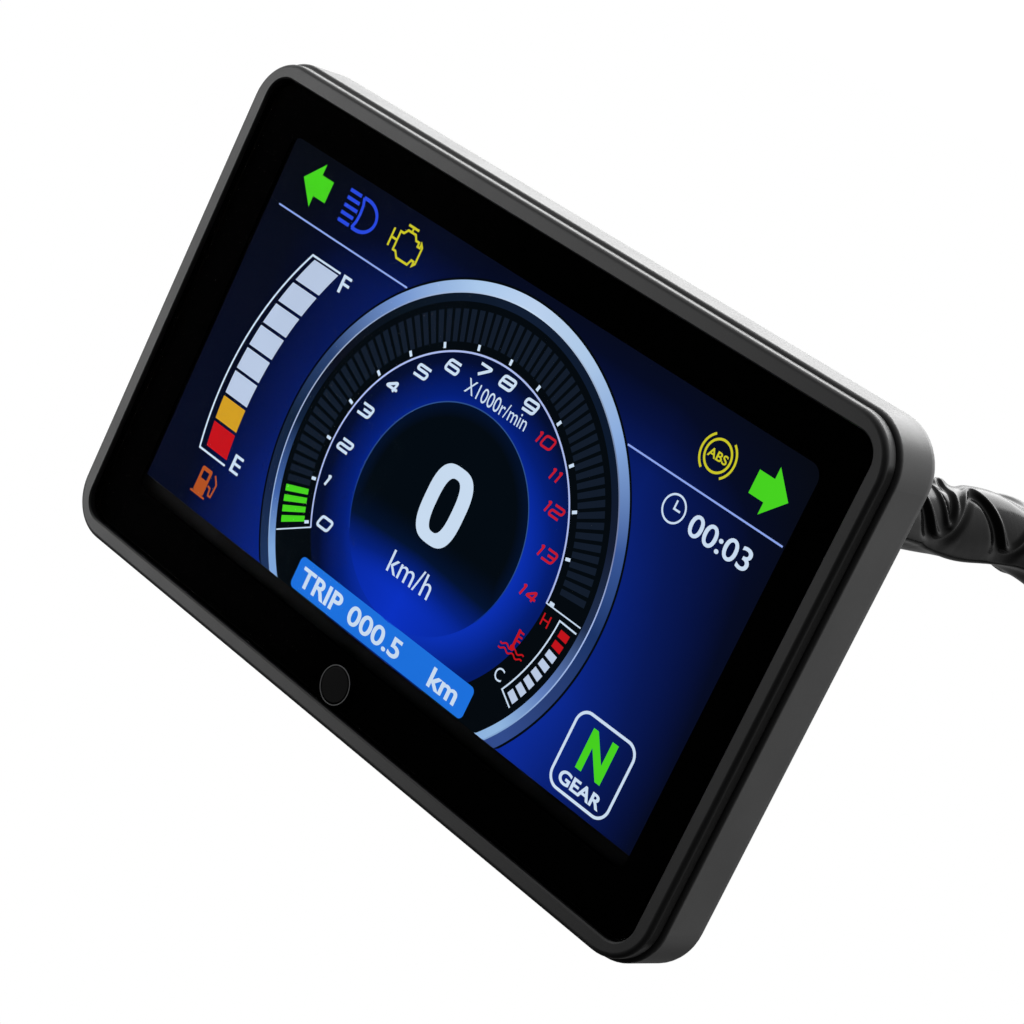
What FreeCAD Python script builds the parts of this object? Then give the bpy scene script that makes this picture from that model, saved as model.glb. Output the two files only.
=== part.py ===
import FreeCAD, Part
import math
import os

from FreeCAD import Vector

# Motorcycle instrument cluster: a colour display behind a bonded cover lens in a two-part moulded case,
# with one push button in the lens and a sleeved harness that leaves the back.
# Millimetres. X to the reader's right, Y from the screen to the back, Z up.
# Origin: centre of the four threaded inserts, on the face that a bracket sits against.

# ---- overall case ----
case_width = 150.2
case_height = 92.5
case_corner_radius = 9.0
case_wall = 2.0
case_rear_rounding = 3.0
case_inner_rounding = 1.2
case_rim_rounding = 0.8
back_gap = 1.1               # board to the case's floor
bay_depth = 9.0              # raised bay behind the back
rim_gap = 0.2                # frame to rear housing
seal_depth = 1.2
seal_width = 0.8

# ---- front frame ----
frame_inset = 0.7            # the frame stands inside the case outline by this much
frame_corner_radius = 8.3
frame_border_depth = 2.4
frame_edge_rounding = 0.9
frame_lip_chamfer = 0.25
ledge_thickness = 1.8
ledge_side_gap = 0.3
display_opening_gap = 0.8
display_opening_radius = 1.0

# ---- cover lens ----
lens_margin = 3.75           # case outline to the lens
lens_corner_radius = 5.0
lens_thickness = 1.5
lens_recess = 0.7
lens_side_gap = 0.15
lens_pocket_radius = 4.2
adhesive_thickness = 0.2
adhesive_width = 2.4
adhesive_inset = 0.5

# ---- display ----
print_side = 7.8             # printed border of the lens, from its edge to the clear window
print_top = 7.95
print_bottom = 8.75
lit_side = 7.55              # the same to the panel's lit area
lit_top = 7.3
lit_bottom = 11.3
panel_side_border = 2.0
panel_top_border = 1.7
panel_bottom_border = 4.1
panel_thickness = 1.4
gasket_thickness = 1.3
gasket_width = 1.4
gasket_overhang = 0.6        # gap from the window's edge to the gasket
gasket_foot_width = 1.0
gasket_lower_gap = 0.1       # the same at the foot, where the button is close
gasket_radius = 1.0
tray_wall = 0.5
tray_margin = 0.5            # the tray stands outside the panel by this much
tray_depth = 2.8
guide_gap = 0.2
pad_thickness = 0.5
pad_width = 8.0
pad_side_inset = 13.2        # from the panel's side to a pad's middle
pad_end_inset = 6.0
shield_thickness = 0.5
shield_inset = 1.0
shield_radius = 3.0
shield_ear_margin = 0.5
shield_ear_radius = 2.0
post_step = 0.6              # a board post is thinner than its boss by this much
post_gap = 0.1

# ---- display ribbon ----
ribbon_x = 22.0
ribbon_width = 26.0
ribbon_thickness = 0.3
ribbon_bend = 0.8
ribbon_drop = 1.7            # panel's edge to the board's slot
ribbon_tail = 9.6            # slot to socket
ribbon_lift = 0.5            # middle of the tail over the board
ribbon_slot_side = 0.8
ribbon_slot_half = 0.9
socket_side = 2.0
socket_depth = 5.0
socket_height = 1.4
socket_bar_side = 0.6
socket_bar_height = 0.8
socket_bar_start = 2.6
socket_bar_end = 4.4
socket_bay_gap = 0.6

# ---- main board ----
board_thickness = 1.6
board_gap = 0.6              # shield to board
board_edge_gap = 1.4
board_notch_gap = 0.9
board_corner_radius = 6.0
# packages on the board: x and z of the middle, width, height, thickness
chips = [(-22.0, 6.0, 16.0, 16.0, 1.4), (-22.0, -14.0, 12.0, 8.0, 1.2), (-42.0, 4.0, 6.0, 5.0, 1.2),
         (-8.0, -18.0, 6.0, 5.0, 1.2), (34.0, -4.0, 7.0, 6.5, 1.6)]
coil_size = 10.0
coil_height = 4.5
coil_radius = 2.0
coil_chamfer = 0.5
coil_place = (20.5, 20.0)    # in from the bay's right side, up from its foot
can_places = [(8.5, 21.0), (8.5, 11.0), (20.5, 8.5)]
can_radius = 4.0
can_height = 8.0
can_rounding = 0.5
can_base_margin = 0.2
can_base_height = 0.8

# ---- push button ----
button_x = -1.5
button_rise = 3.8            # lens's lower edge to the button's centre
button_radius = 3.1
button_running_gap = 0.08
button_travel = 0.5
button_flange_step = 0.8
button_flange_thickness = 0.8
button_stem_radius = 1.5
button_edge_rounding = 0.25
moving_gap = 0.3
boot_thickness = 0.6
boot_overlap = 1.2
boot_panel_gap = 0.8
boot_plunger_gap = 0.9
switch_size = 5.2
switch_height = 2.5
plunger_radius = 1.6
plunger_running_gap = 0.05
plunger_depth = 0.9
plunger_seat_gap = 0.1

# ---- screws ----
screw_radius = 1.25
screw_head_radius = 2.3
screw_head_height = 1.5
screw_head_gap = 0.3
boss_radius = 2.5
boss_gap = 0.8               # frame's bosses to the housing's
pilot_floor = 1.0
head_seat_rise = 0.1
corner_screw_inset = 2.0     # from the centre of the case's corner arc
edge_screw_inset = 5.8       # from the case's top and bottom edge
bottom_screw_x = 44.0
board_screw_inset = 5.5      # from the case's side
board_screw_z = 24.0
board_screw_length = 5.0
drive_radius = 1.0
drive_share = 0.55           # drive depth as a share of the head's height
head_round_share = 0.4
board_screw_head = 0.9       # low head, clear of the case's floor

# ---- rear bay, inserts and vent ----
bay_left_inset = 23.1        # from the case's left side
bay_right_inset = 9.6
bay_top_inset = 8.75
bay_foot_drop = 12.0         # under the lower inserts
bay_corner_radius = 8.0
bay_rounding = 1.5
insert_spacing_x = 60.0
insert_spacing_z = 36.0
insert_radius = 3.4
insert_bore_radius = 2.1     # tapped M5
insert_length = 7.5
insert_boss_wall = 1.8
insert_end_gap = 0.4
insert_groove_from = 3.0     # knurl-free band, from the open end
insert_groove_to = 4.2
insert_groove_depth = 0.5
vent_side_inset = 13.1
vent_foot_inset = 12.25
vent_cap_radius = 4.2
vent_cap_rounding = 0.5
vent_slit_length = 5.0
vent_slit_width = 0.6
vent_slit_depth = 0.4
vent_stem_reach = 0.5
vent_cap_height = 1.3
vent_stem_radius = 2.4

# ---- harness ----
sleeve_diameter = 11.0
gland_side_gap = 2.9         # gland's inner flange to the bay's right side
gland_top_gap = 2.2
gland_tip_wall = 0.8         # over the sleeve
gland_taper = 1.1
gland_neck_wall = 0.7
gland_inner_wall = 1.5
gland_length = 8.5
gland_inner_flange = 1.6
gland_slots = 3
gland_slot_margin = 2.4
gland_slot_depth = 0.5
gland_slot_width = 0.9
lead_radius = 0.75
lead_count = 6
lead_pitch = 2.4
lead_spread = 2.4
lead_row_step = 1.6
lead_drop = 5.0              # straight stretch of a lead over its plug
lead_plug_height = 1.0       # the plug stands out of the header
header_side_inset = 15.5     # from the bay's right side
header_rise = 32.0           # over the bay's foot
header_width = 17.0
header_height = 5.6
header_depth = 7.0
header_wall = 0.9
collar_length = 9.0
collar_wall = 0.5
collar_rounding = 0.4
plug_width = 25.0
plug_depth = 14.0
plug_length = 27.0
plug_columns = 6
plug_pitch = 3.6
plug_row_gap = 5.0
plug_rounding = 1.2
skirt_margin = 1.2
skirt_length = 7.0
skirt_rounding = 1.5
latch_half = 4.0
latch_gap = 1.8              # latch arm to the plug's side
latch_thickness = 1.4
latch_root = 3.0
latch_tip_inset = 4.0
latch_top_inset = 5.0
seal_ring_depth = 0.9
seal_ring_length = 3.0
seal_ring_drop = 12.0
wire_length = 13.0
wire_radius = 0.68
wire_bunch_x = 0.42          # how far the wires draw together in the collar
wire_bunch_y = 0.55
wire_straight_top = 3.6
wire_straight_foot = 2.0
terminal_radius = 0.9
terminal_gap = 0.15
terminal_inset = 2.0
terminal_mouth = 8.0

# The sleeve's centre line from the gland's foot, chosen by hand: straight out, then down under its own weight.
sleeve_bends = [
    (0.0, gland_length, 0.0), (0.0, 25.5, 0.0), (1.0, 44.0, 1.1), (5.8, 64.0, -2.3), (11.8, 77.5, -12.7),
    (18.4, 88.0, -25.3), (24.2, 95.0, -40.3), (28.0, 99.0, -56.7), (29.4, 100.6, -72.3), (29.4, 100.6, -87.3),
]

# ---- depths worked out from the sizes, from the bracket's face towards the screen ----
case_back_y = -bay_depth
case_floor_y = case_back_y - case_wall
bay_floor_y = -case_wall
board_back_y = case_floor_y - back_gap
board_front_y = board_back_y - board_thickness
shield_back_y = board_front_y - board_gap
shield_front_y = shield_back_y - shield_thickness
tray_back_y = shield_front_y - pad_thickness
panel_back_y = tray_back_y - tray_depth
panel_front_y = panel_back_y - panel_thickness
lens_back_y = panel_front_y - gasket_thickness
lens_front_y = lens_back_y - lens_thickness
face_y = lens_front_y - lens_recess
frame_rear_y = face_y + frame_border_depth
ledge_front_y = lens_back_y + adhesive_thickness
ledge_back_y = ledge_front_y + ledge_thickness
rim_y = frame_rear_y + rim_gap
case_boss_y = board_front_y - boss_gap
head_seat_y = case_floor_y + head_seat_rise
flange_y = lens_back_y + moving_gap
plunger_top_y = ledge_back_y + boot_thickness + boot_plunger_gap

# ---- outlines ----
lens_width = case_width - 2 * lens_margin
lens_height = case_height - 2 * lens_margin
frame_width = case_width - 2 * frame_inset
frame_height = case_height - 2 * frame_inset
cavity_width = case_width - 2 * case_wall
cavity_height = case_height - 2 * case_wall
cavity_radius = case_corner_radius - case_wall
seat_width = cavity_width + 2 * seal_width
seat_height = cavity_height + 2 * seal_width
view_side = lens_width / 2 - print_side
view_top = lens_height / 2 - print_top
view_bottom = print_bottom - lens_height / 2
panel_right = lens_width / 2 - lit_side + panel_side_border
panel_left = -panel_right
panel_top = lens_height / 2 - lit_top + panel_top_border
panel_bottom = lit_bottom - lens_height / 2 - panel_bottom_border
bay_left = bay_left_inset - case_width / 2
bay_right = case_width / 2 - bay_right_inset
bay_bottom = -insert_spacing_z / 2 - bay_foot_drop
bay_top = case_height / 2 - bay_top_inset

# ---- places ----
corner_x = case_width / 2 - case_corner_radius + corner_screw_inset
corner_z = case_height / 2 - case_corner_radius + corner_screw_inset
edge_z = case_height / 2 - edge_screw_inset
case_screws = [(sx * corner_x, sz * corner_z) for sx in (-1, 1) for sz in (-1, 1)]
case_screws += [(0.0, edge_z), (-bottom_screw_x, -edge_z), (bottom_screw_x, -edge_z)]
board_screw_x = case_width / 2 - board_screw_inset
board_screws = [(sx * board_screw_x, sz * board_screw_z) for sx in (-1, 1) for sz in (-1, 1)]
insert_places = [(sx * insert_spacing_x / 2, sz * insert_spacing_z / 2) for sx in (-1, 1) for sz in (-1, 1)]
post_radius = boss_radius - post_step
button_z = button_rise - lens_height / 2
button_flange_radius = button_radius + button_flange_step
vent_x = vent_side_inset - case_width / 2
vent_z = vent_foot_inset - case_height / 2
ribbon_left = ribbon_x - ribbon_width / 2
ribbon_right = ribbon_x + ribbon_width / 2
ribbon_z = panel_bottom - ribbon_drop
socket_z = max(ribbon_z + ribbon_tail, bay_bottom + case_wall + socket_bay_gap)
header_x = bay_right - header_side_inset
header_z = bay_bottom + header_rise
lead_plug_z = header_z + header_depth + lead_plug_height
lead_y = board_back_y + header_height / 2
gland_tip_radius = sleeve_diameter / 2 + gland_tip_wall
gland_base_radius = gland_tip_radius + gland_taper
gland_neck_radius = sleeve_diameter / 2 + gland_neck_wall
gland_inner_radius = sleeve_diameter / 2 + gland_inner_wall
gland_inner_y = bay_floor_y - gland_inner_flange
gland_x = bay_right - gland_inner_radius - gland_side_gap
gland_z = bay_top - gland_inner_radius - gland_top_gap
sleeve_route = [(gland_x + x, y, gland_z + z) for x, y, z in sleeve_bends]
end_x, end_y, sleeve_end_z = sleeve_route[-1]
collar_end_z = sleeve_end_z - collar_length
plug_top_z = collar_end_z - wire_length
plug_foot_z = plug_top_z - plug_length
open_cut = 1.0               # how far a cut runs past a surface that it opens


def rounded_face(left, bottom, right, top, radius, y):
    """Rounded rectangle in a plane of constant Y."""
    k = radius * (1 - math.sqrt(0.5))
    p = lambda x, z: Vector(x, y, z)
    edges = [
        Part.LineSegment(p(left + radius, bottom), p(right - radius, bottom)),
        Part.Arc(p(right - radius, bottom), p(right - k, bottom + k), p(right, bottom + radius)),
        Part.LineSegment(p(right, bottom + radius), p(right, top - radius)),
        Part.Arc(p(right, top - radius), p(right - k, top - k), p(right - radius, top)),
        Part.LineSegment(p(right - radius, top), p(left + radius, top)),
        Part.Arc(p(left + radius, top), p(left + k, top - k), p(left, top - radius)),
        Part.LineSegment(p(left, top - radius), p(left, bottom + radius)),
        Part.Arc(p(left, bottom + radius), p(left + k, bottom + k), p(left + radius, bottom)),
    ]
    return Part.Face(Part.Wire([e.toShape() for e in edges]))


def slab(left, bottom, right, top, radius, y0, y1):
    """Rounded rectangle carried from y0 to y1."""
    return rounded_face(left, bottom, right, top, radius, y0).extrude(Vector(0, y1 - y0, 0))


def plate(width, height, radius, y0, y1, centre_x=0.0, centre_z=0.0):
    """Rounded slab given by its size and centre."""
    return slab(centre_x - width / 2, centre_z - height / 2, centre_x + width / 2, centre_z + height / 2,
                radius, y0, y1)


def block(x0, y0, z0, x1, y1, z1):
    """Plain box between two corners."""
    return Part.makeBox(x1 - x0, y1 - y0, z1 - z0, Vector(x0, y0, z0))


def rod(x, z, radius, y0, y1):
    """Cylinder along Y."""
    return Part.makeCylinder(radius, y1 - y0, Vector(x, y0, z), Vector(0, 1, 0))


def cone(x, z, radius0, radius1, y0, y1):
    """Cone along Y, radius0 at y0 and radius1 at y1."""
    return Part.makeCone(radius0, radius1, y1 - y0, Vector(x, y0, z), Vector(0, 1, 0))


def edges_at(shape, y, tolerance=1e-4):
    """Edges that lie wholly in one plane of constant Y."""
    return [e for e in shape.Edges
            if abs(e.BoundBox.YMin - y) < tolerance and abs(e.BoundBox.YMax - y) < tolerance]


def joined(shapes):
    """One solid from pieces that overlap or touch."""
    result = shapes[0].multiFuse(shapes[1:]) if len(shapes) > 1 else shapes[0]
    return result.removeSplitter()


def export(name, shape):
    """Write one node, as a group where it holds several solids."""
    solids = shape.Solids
    out = solids[0] if len(solids) == 1 else Part.makeCompound(solids)
    out.exportStep("parts/" + name + ".step")
    print(name, "solids", len(solids), "volume", round(shape.Volume, 1))


def front_frame():
    """Border, lens pocket, ledge behind the lens and the screw bosses."""
    border = plate(frame_width, frame_height, frame_corner_radius, face_y, frame_rear_y)
    border = border.makeFillet(frame_edge_rounding, edges_at(border, face_y))
    ledge = plate(cavity_width - 2 * ledge_side_gap, cavity_height - 2 * ledge_side_gap,
                  cavity_radius - ledge_side_gap, ledge_front_y, ledge_back_y)
    solid = joined([border, ledge])
    pocket = plate(lens_width + 2 * lens_side_gap, lens_height + 2 * lens_side_gap, lens_pocket_radius,
                   face_y - open_cut, ledge_front_y)
    solid = solid.cut(pocket)
    half = lens_width / 2 + 2 * lens_side_gap
    mouth_edges = [e for e in edges_at(solid, face_y) if -half < e.BoundBox.XMin and e.BoundBox.XMax < half
                   and abs(e.BoundBox.Center.z) < lens_height / 2 + 2 * lens_side_gap]
    solid = solid.makeChamfer(frame_lip_chamfer, mouth_edges)
    opening = slab(panel_left - display_opening_gap, panel_bottom - display_opening_gap,
                   panel_right + display_opening_gap, panel_top + display_opening_gap,
                   display_opening_radius, face_y, ledge_back_y + open_cut)
    solid = solid.cut(opening)
    solid = solid.cut(rod(button_x, button_z, button_flange_radius + moving_gap, ledge_front_y - open_cut,
                          ledge_back_y + open_cut))
    bosses = [rod(x, z, boss_radius, ledge_front_y, case_boss_y) for x, z in case_screws]
    bosses += [rod(x, z, boss_radius, ledge_front_y, shield_front_y) for x, z in board_screws]
    bosses += [rod(x, z, post_radius, shield_front_y, board_front_y) for x, z in board_screws]
    solid = joined([solid] + bosses)
    pilots = [rod(x, z, screw_radius, ledge_front_y + pilot_floor, case_boss_y) for x, z in case_screws]
    pilots += [rod(x, z, screw_radius, ledge_front_y + pilot_floor, board_front_y) for x, z in board_screws]
    return solid.cut(Part.makeCompound(pilots))


def cover_lens():
    """Flat cover with the hole that the button comes through."""
    lens = plate(lens_width, lens_height, lens_corner_radius, lens_front_y, lens_back_y)
    return lens.cut(rod(button_x, button_z, button_radius + button_running_gap, lens_front_y - open_cut,
                        lens_back_y + open_cut))


def lens_adhesive():
    """Tape frame that bonds the lens to the ledge."""
    width, height = lens_width - 2 * adhesive_inset, lens_height - 2 * adhesive_inset
    outer = plate(width, height, lens_corner_radius, lens_back_y, ledge_front_y)
    inner = plate(width - 2 * adhesive_width, height - 2 * adhesive_width,
                  lens_corner_radius - adhesive_width, lens_back_y, ledge_front_y)
    hole = rod(button_x, button_z, button_flange_radius + moving_gap, lens_back_y, ledge_front_y)
    return outer.cut(inner).cut(hole)


def window_gasket():
    """Foam frame between the lens and the panel."""
    side, top = view_side + gasket_overhang, view_top + gasket_overhang
    foot = view_bottom - gasket_lower_gap
    outer = slab(-side - gasket_width, foot - gasket_foot_width, side + gasket_width, top + gasket_width,
                 gasket_radius + gasket_foot_width, lens_back_y, panel_front_y)
    return outer.cut(slab(-side, foot, side, top, gasket_radius, lens_back_y, panel_front_y))


def display_panel():
    """Liquid-crystal glass with its polarisers."""
    return block(panel_left, panel_front_y, panel_bottom, panel_right, panel_back_y, panel_top)


def backlight_tray():
    """Open metal tray that carries the light guide."""
    m = tray_margin
    outer = block(panel_left - m, panel_back_y, panel_bottom - m, panel_right + m, tray_back_y, panel_top + m)
    inner = block(panel_left - m + tray_wall, panel_back_y, panel_bottom - m + tray_wall,
                  panel_right + m - tray_wall, tray_back_y - tray_wall, panel_top + m - tray_wall)
    return outer.cut(inner)


def light_guide():
    """Clear plate that spreads the backlight."""
    m = tray_margin - tray_wall - guide_gap
    return block(panel_left - m, panel_back_y, panel_bottom - m, panel_right + m, tray_back_y - tray_wall,
                 panel_top + m)


def cushion_pads():
    """Foam strips that the shield presses on the tray."""
    half = pad_width / 2
    foot, top = panel_bottom + pad_end_inset, panel_top - pad_end_inset
    middles = (panel_left + pad_side_inset, panel_right - pad_side_inset)
    return Part.makeCompound([block(x - half, tray_back_y, foot, x + half, shield_front_y, top)
                              for x in middles])


def shield_plate():
    """Steel plate between the display and the board, held by the board's screws."""
    body = slab(panel_left + shield_inset, panel_bottom + shield_inset, panel_right - shield_inset,
                panel_top - shield_inset, shield_radius, shield_front_y, shield_back_y)
    reach = boss_radius + shield_ear_margin
    ears = []
    for x, z in board_screws:
        side = x + math.copysign(boss_radius, x)
        ears.append(slab(min(0, side), z - reach, max(0, side), z + reach, shield_ear_radius,
                         shield_front_y, shield_back_y))
    solid = joined([body] + ears)
    return solid.cut(Part.makeCompound([rod(x, z, post_radius + post_gap, shield_front_y, shield_back_y)
                                        for x, z in board_screws]))


def main_board():
    """Circuit board with notches for the case bosses and a slot for the ribbon."""
    board = plate(cavity_width - 2 * board_edge_gap, cavity_height - 2 * board_edge_gap, board_corner_radius,
                  board_front_y, board_back_y)
    cuts = [rod(x, z, boss_radius + board_notch_gap, board_front_y, board_back_y) for x, z in case_screws]
    cuts += [rod(x, z, screw_radius, board_front_y, board_back_y) for x, z in board_screws]
    cuts.append(block(ribbon_left - ribbon_slot_side, board_front_y, ribbon_z - ribbon_slot_half,
                      ribbon_right + ribbon_slot_side, board_back_y, ribbon_z + ribbon_slot_half))
    return board.cut(Part.makeCompound(cuts))


def display_ribbon():
    """Flexible print: from the panel's lower edge, back through the board's slot and up to its socket."""
    t = ribbon_thickness
    r = ribbon_bend
    y0 = panel_back_y - t
    y1 = board_back_y + ribbon_lift
    z1 = ribbon_z
    path = [(y0, panel_bottom), (y0, z1 + r)], [(y0 + r, z1), (y1 - r, z1)], [(y1, z1 + r), (y1, socket_z)]
    d = math.sqrt(0.5)
    edges = [Part.LineSegment(Vector(0, *path[0][0]), Vector(0, *path[0][1])),
             Part.Arc(Vector(0, *path[0][1]), Vector(0, y0 + r * (1 - d), z1 + r * (1 - d)),
                      Vector(0, *path[1][0])),
             Part.LineSegment(Vector(0, *path[1][0]), Vector(0, *path[1][1])),
             Part.Arc(Vector(0, *path[1][1]), Vector(0, y1 - r * (1 - d), z1 + r * (1 - d)),
                      Vector(0, *path[2][0])),
             Part.LineSegment(Vector(0, *path[2][0]), Vector(0, *path[2][1]))]
    wire = Part.Wire([e.toShape() for e in edges])
    wire.translate(Vector(ribbon_left, 0, 0))
    start = Vector(ribbon_left, y0, panel_bottom)
    profile = Part.makePolygon([start + Vector(0, -t / 2, 0), start + Vector(ribbon_width, -t / 2, 0),
                                start + Vector(ribbon_width, t / 2, 0), start + Vector(0, t / 2, 0),
                                start + Vector(0, -t / 2, 0)])
    return wire.makePipeShell([profile], True, False)


def ribbon_socket():
    """Latching socket that takes the ribbon's end."""
    left, right, top = ribbon_left - socket_side, ribbon_right + socket_side, board_back_y + socket_height
    body = block(left, board_back_y, socket_z, right, top, socket_z + socket_depth)
    bar = block(left - socket_bar_side, top, socket_z + socket_bar_start, right + socket_bar_side,
                top + socket_bar_height, socket_z + socket_bar_end)
    return joined([body, bar])


def board_chips():
    """Processor, memory and transceiver packages on the board's back."""
    return Part.makeCompound([block(x - w / 2, board_back_y, z - h / 2, x + w / 2, board_back_y + t, z + h / 2)
                              for x, z, w, h, t in chips])


def from_bay_corner(place):
    """Point given as a distance in from the bay's right side and up from its foot."""
    return bay_right - place[0], bay_bottom + place[1]


def power_inductor():
    """Shielded coil of the supply."""
    top = board_back_y + coil_height
    coil = plate(coil_size, coil_size, coil_radius, board_back_y, top, *from_bay_corner(coil_place))
    return coil.makeChamfer(coil_chamfer, edges_at(coil, top))


def filter_capacitors():
    """Round electrolytic cans on square bases."""
    cans = []
    foot, top = board_back_y + can_base_height, board_back_y + can_height
    half = can_radius + can_base_margin
    for x, z in map(from_bay_corner, can_places):
        can = rod(x, z, can_radius, foot, top)
        cans.append(joined([block(x - half, board_back_y, z - half, x + half, foot, z + half),
                            can.makeFillet(can_rounding, edges_at(can, top))]))
    return Part.makeCompound(cans)


def lead_header():
    """Side-entry box header on the board, open upwards, for the harness leads."""
    half = header_width / 2
    outer = block(header_x - half, board_back_y, header_z, header_x + half, board_back_y + header_height,
                  header_z + header_depth)
    return outer.cut(plug_seat(header_z + header_depth))


def plug_seat(top):
    """Room inside the header, carried up to a given height."""
    half = header_width / 2 - header_wall
    return block(header_x - half, board_back_y + header_wall, header_z + header_wall, header_x + half,
                 board_back_y + header_height - header_wall, top)


def lead_plug():
    """Crimp housing on the leads, seated in the header."""
    return plug_seat(lead_plug_z)


def route_pipe(points, radius, report=False):
    """Tube along straight runs joined by the largest arcs that the runs allow."""
    pts = [Vector(*p) for p in points]
    runs = [(pts[i + 1] - pts[i]).Length for i in range(len(pts) - 1)]
    edges, last, radii = [], pts[0], []
    for i in range(1, len(pts) - 1):
        a = (pts[i - 1] - pts[i]).normalize()
        b = (pts[i + 1] - pts[i]).normalize()
        reach = 0.45 * min(runs[i - 1], runs[i])
        half_turn = (math.pi - a.getAngle(b)) / 2
        bend = reach / math.tan(half_turn)
        radii.append(bend)
        start, end = pts[i] + a * reach, pts[i] + b * reach
        inward = (a + b).normalize()
        middle = pts[i] + inward * (bend / math.cos(half_turn) - bend)
        edges += [Part.LineSegment(last, start).toShape(), Part.Arc(start, middle, end).toShape()]
        last = end
    edges.append(Part.LineSegment(last, pts[-1]).toShape())
    spine = Part.Wire(edges)
    direction = pts[1] - pts[0]
    section = Part.Wire(Part.Circle(pts[0], direction, radius).toShape())
    tube = spine.makePipeShell([section], True, True)
    if report:
        print("route length", round(spine.Length, 1), "radii", [round(r, 1) for r in radii],
              "volume ratio", round(tube.Volume / (math.pi * radius ** 2 * spine.Length), 4))
    return tube


def inner_leads():
    """Leads from the gland's inner end to the plug on the board, in two rows of three."""
    leads = []
    for i in range(lead_count):
        row = i % 2
        x0 = gland_x + (i // 2 - 1) * lead_spread
        z0 = gland_z + (0.5 - row) * lead_spread
        x1 = header_x + (i - (lead_count - 1) / 2) * lead_pitch
        deep = lead_y + (row - 1 / 3) * lead_row_step
        route = [(x0, gland_inner_y, z0), (x0, deep, z0), (x1, lead_y, lead_plug_z + lead_drop),
                 (x1, lead_y, lead_plug_z)]
        leads.append(route_pipe(route, lead_radius))
    return Part.makeCompound(leads)


def rear_housing():
    """Deep shell with the raised bay, bosses for screws and inserts, and the gland's hole."""
    shell = plate(case_width, case_height, case_corner_radius, rim_y, case_back_y)
    shell = shell.makeFillet(case_rear_rounding, edges_at(shell, case_back_y))
    shell = shell.makeFillet(case_rim_rounding, edges_at(shell, rim_y))
    bay = slab(bay_left, bay_bottom, bay_right, bay_top, bay_corner_radius, case_back_y - open_cut, 0)
    bay = bay.makeFillet(bay_rounding, edges_at(bay, 0))
    solid = joined([shell, bay])
    cavity = plate(cavity_width, cavity_height, cavity_radius, rim_y - open_cut, case_floor_y)
    cavity = cavity.makeFillet(case_inner_rounding, edges_at(cavity, case_floor_y))
    bay_cavity = slab(bay_left + case_wall, bay_bottom + case_wall, bay_right - case_wall,
                      bay_top - case_wall, bay_corner_radius - case_wall, case_floor_y - open_cut, bay_floor_y)
    seat = plate(seat_width, seat_height, cavity_radius + seal_width, rim_y - open_cut,
                 frame_rear_y + seal_depth)
    solid = solid.cut(cavity).cut(bay_cavity).cut(seat)
    bosses = [rod(x, z, boss_radius, case_boss_y, case_back_y - case_wall / 2) for x, z in case_screws]
    pocket_y = -insert_length - insert_end_gap
    bosses += [rod(x, z, insert_radius + insert_boss_wall, pocket_y - insert_boss_wall, bay_floor_y / 2)
               for x, z in insert_places]
    solid = joined([solid] + bosses)
    outside = case_back_y + open_cut
    holes = [rod(x, z, screw_radius, case_boss_y - open_cut, outside) for x, z in case_screws]
    holes += [rod(x, z, screw_head_radius + screw_head_gap, head_seat_y, outside) for x, z in case_screws]
    holes += [rod(x, z, insert_radius, pocket_y, open_cut) for x, z in insert_places]
    holes.append(rod(gland_x, gland_z, gland_neck_radius, bay_floor_y - open_cut, open_cut))
    holes.append(rod(vent_x, vent_z, vent_stem_radius, case_floor_y - open_cut, outside))
    return solid.cut(Part.makeCompound(holes))


def case_seal():
    """Soft cord in the seat between the frame and the rear housing."""
    y0, y1 = frame_rear_y, frame_rear_y + seal_depth
    outer = plate(seat_width, seat_height, cavity_radius + seal_width, y0, y1)
    return outer.cut(plate(cavity_width, cavity_height, cavity_radius, y0, y1))


def pan_screw(x, z, seat_y, tip_y, height):
    """Screw with a domed head and a cross drive, tip towards the screen."""
    top = seat_y + height
    head = rod(x, z, screw_head_radius, seat_y, top)
    head = head.makeFillet(head_round_share * height, edges_at(head, top))
    solid = joined([head, rod(x, z, screw_radius, tip_y, seat_y)])
    arm = drive_radius / 3
    deep = drive_share * height
    cross = [block(x - drive_radius, top - deep, z - arm, x + drive_radius, top + open_cut, z + arm),
             block(x - arm, top - deep, z - drive_radius, x + arm, top + open_cut, z + drive_radius)]
    return solid.cut(joined(cross))


def above(z, y0, y1):
    """Block over the button from height z up, to cut flats that face the display."""
    reach = button_flange_radius + boot_overlap + open_cut
    return block(button_x - reach, y0, z, button_x + reach, y1, z + 2 * reach)


def push_button():
    """Cap, retaining flange with a flat towards the display, and stem in one moulding."""
    cap = rod(button_x, button_z, button_radius, lens_front_y, flange_y)
    cap = cap.makeFillet(button_edge_rounding, edges_at(cap, lens_front_y))
    flange = rod(button_x, button_z, button_flange_radius, flange_y, flange_y + button_flange_thickness)
    flange = flange.cut(above(panel_bottom - moving_gap, flange_y, flange_y + button_flange_thickness))
    stem = rod(button_x, button_z, button_stem_radius, flange_y + button_flange_thickness,
               plunger_top_y - plunger_seat_gap)
    return joined([cap, flange, stem])


def button_boot():
    """Silicone ring that seals the stem, drawn open by the running gap."""
    outer = rod(button_x, button_z, button_flange_radius + boot_overlap, ledge_back_y,
                ledge_back_y + boot_thickness)
    outer = outer.cut(rod(button_x, button_z, button_stem_radius + moving_gap, ledge_back_y,
                          ledge_back_y + boot_thickness))
    return outer.cut(above(panel_bottom - boot_panel_gap, ledge_back_y, ledge_back_y + boot_thickness))


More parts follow.
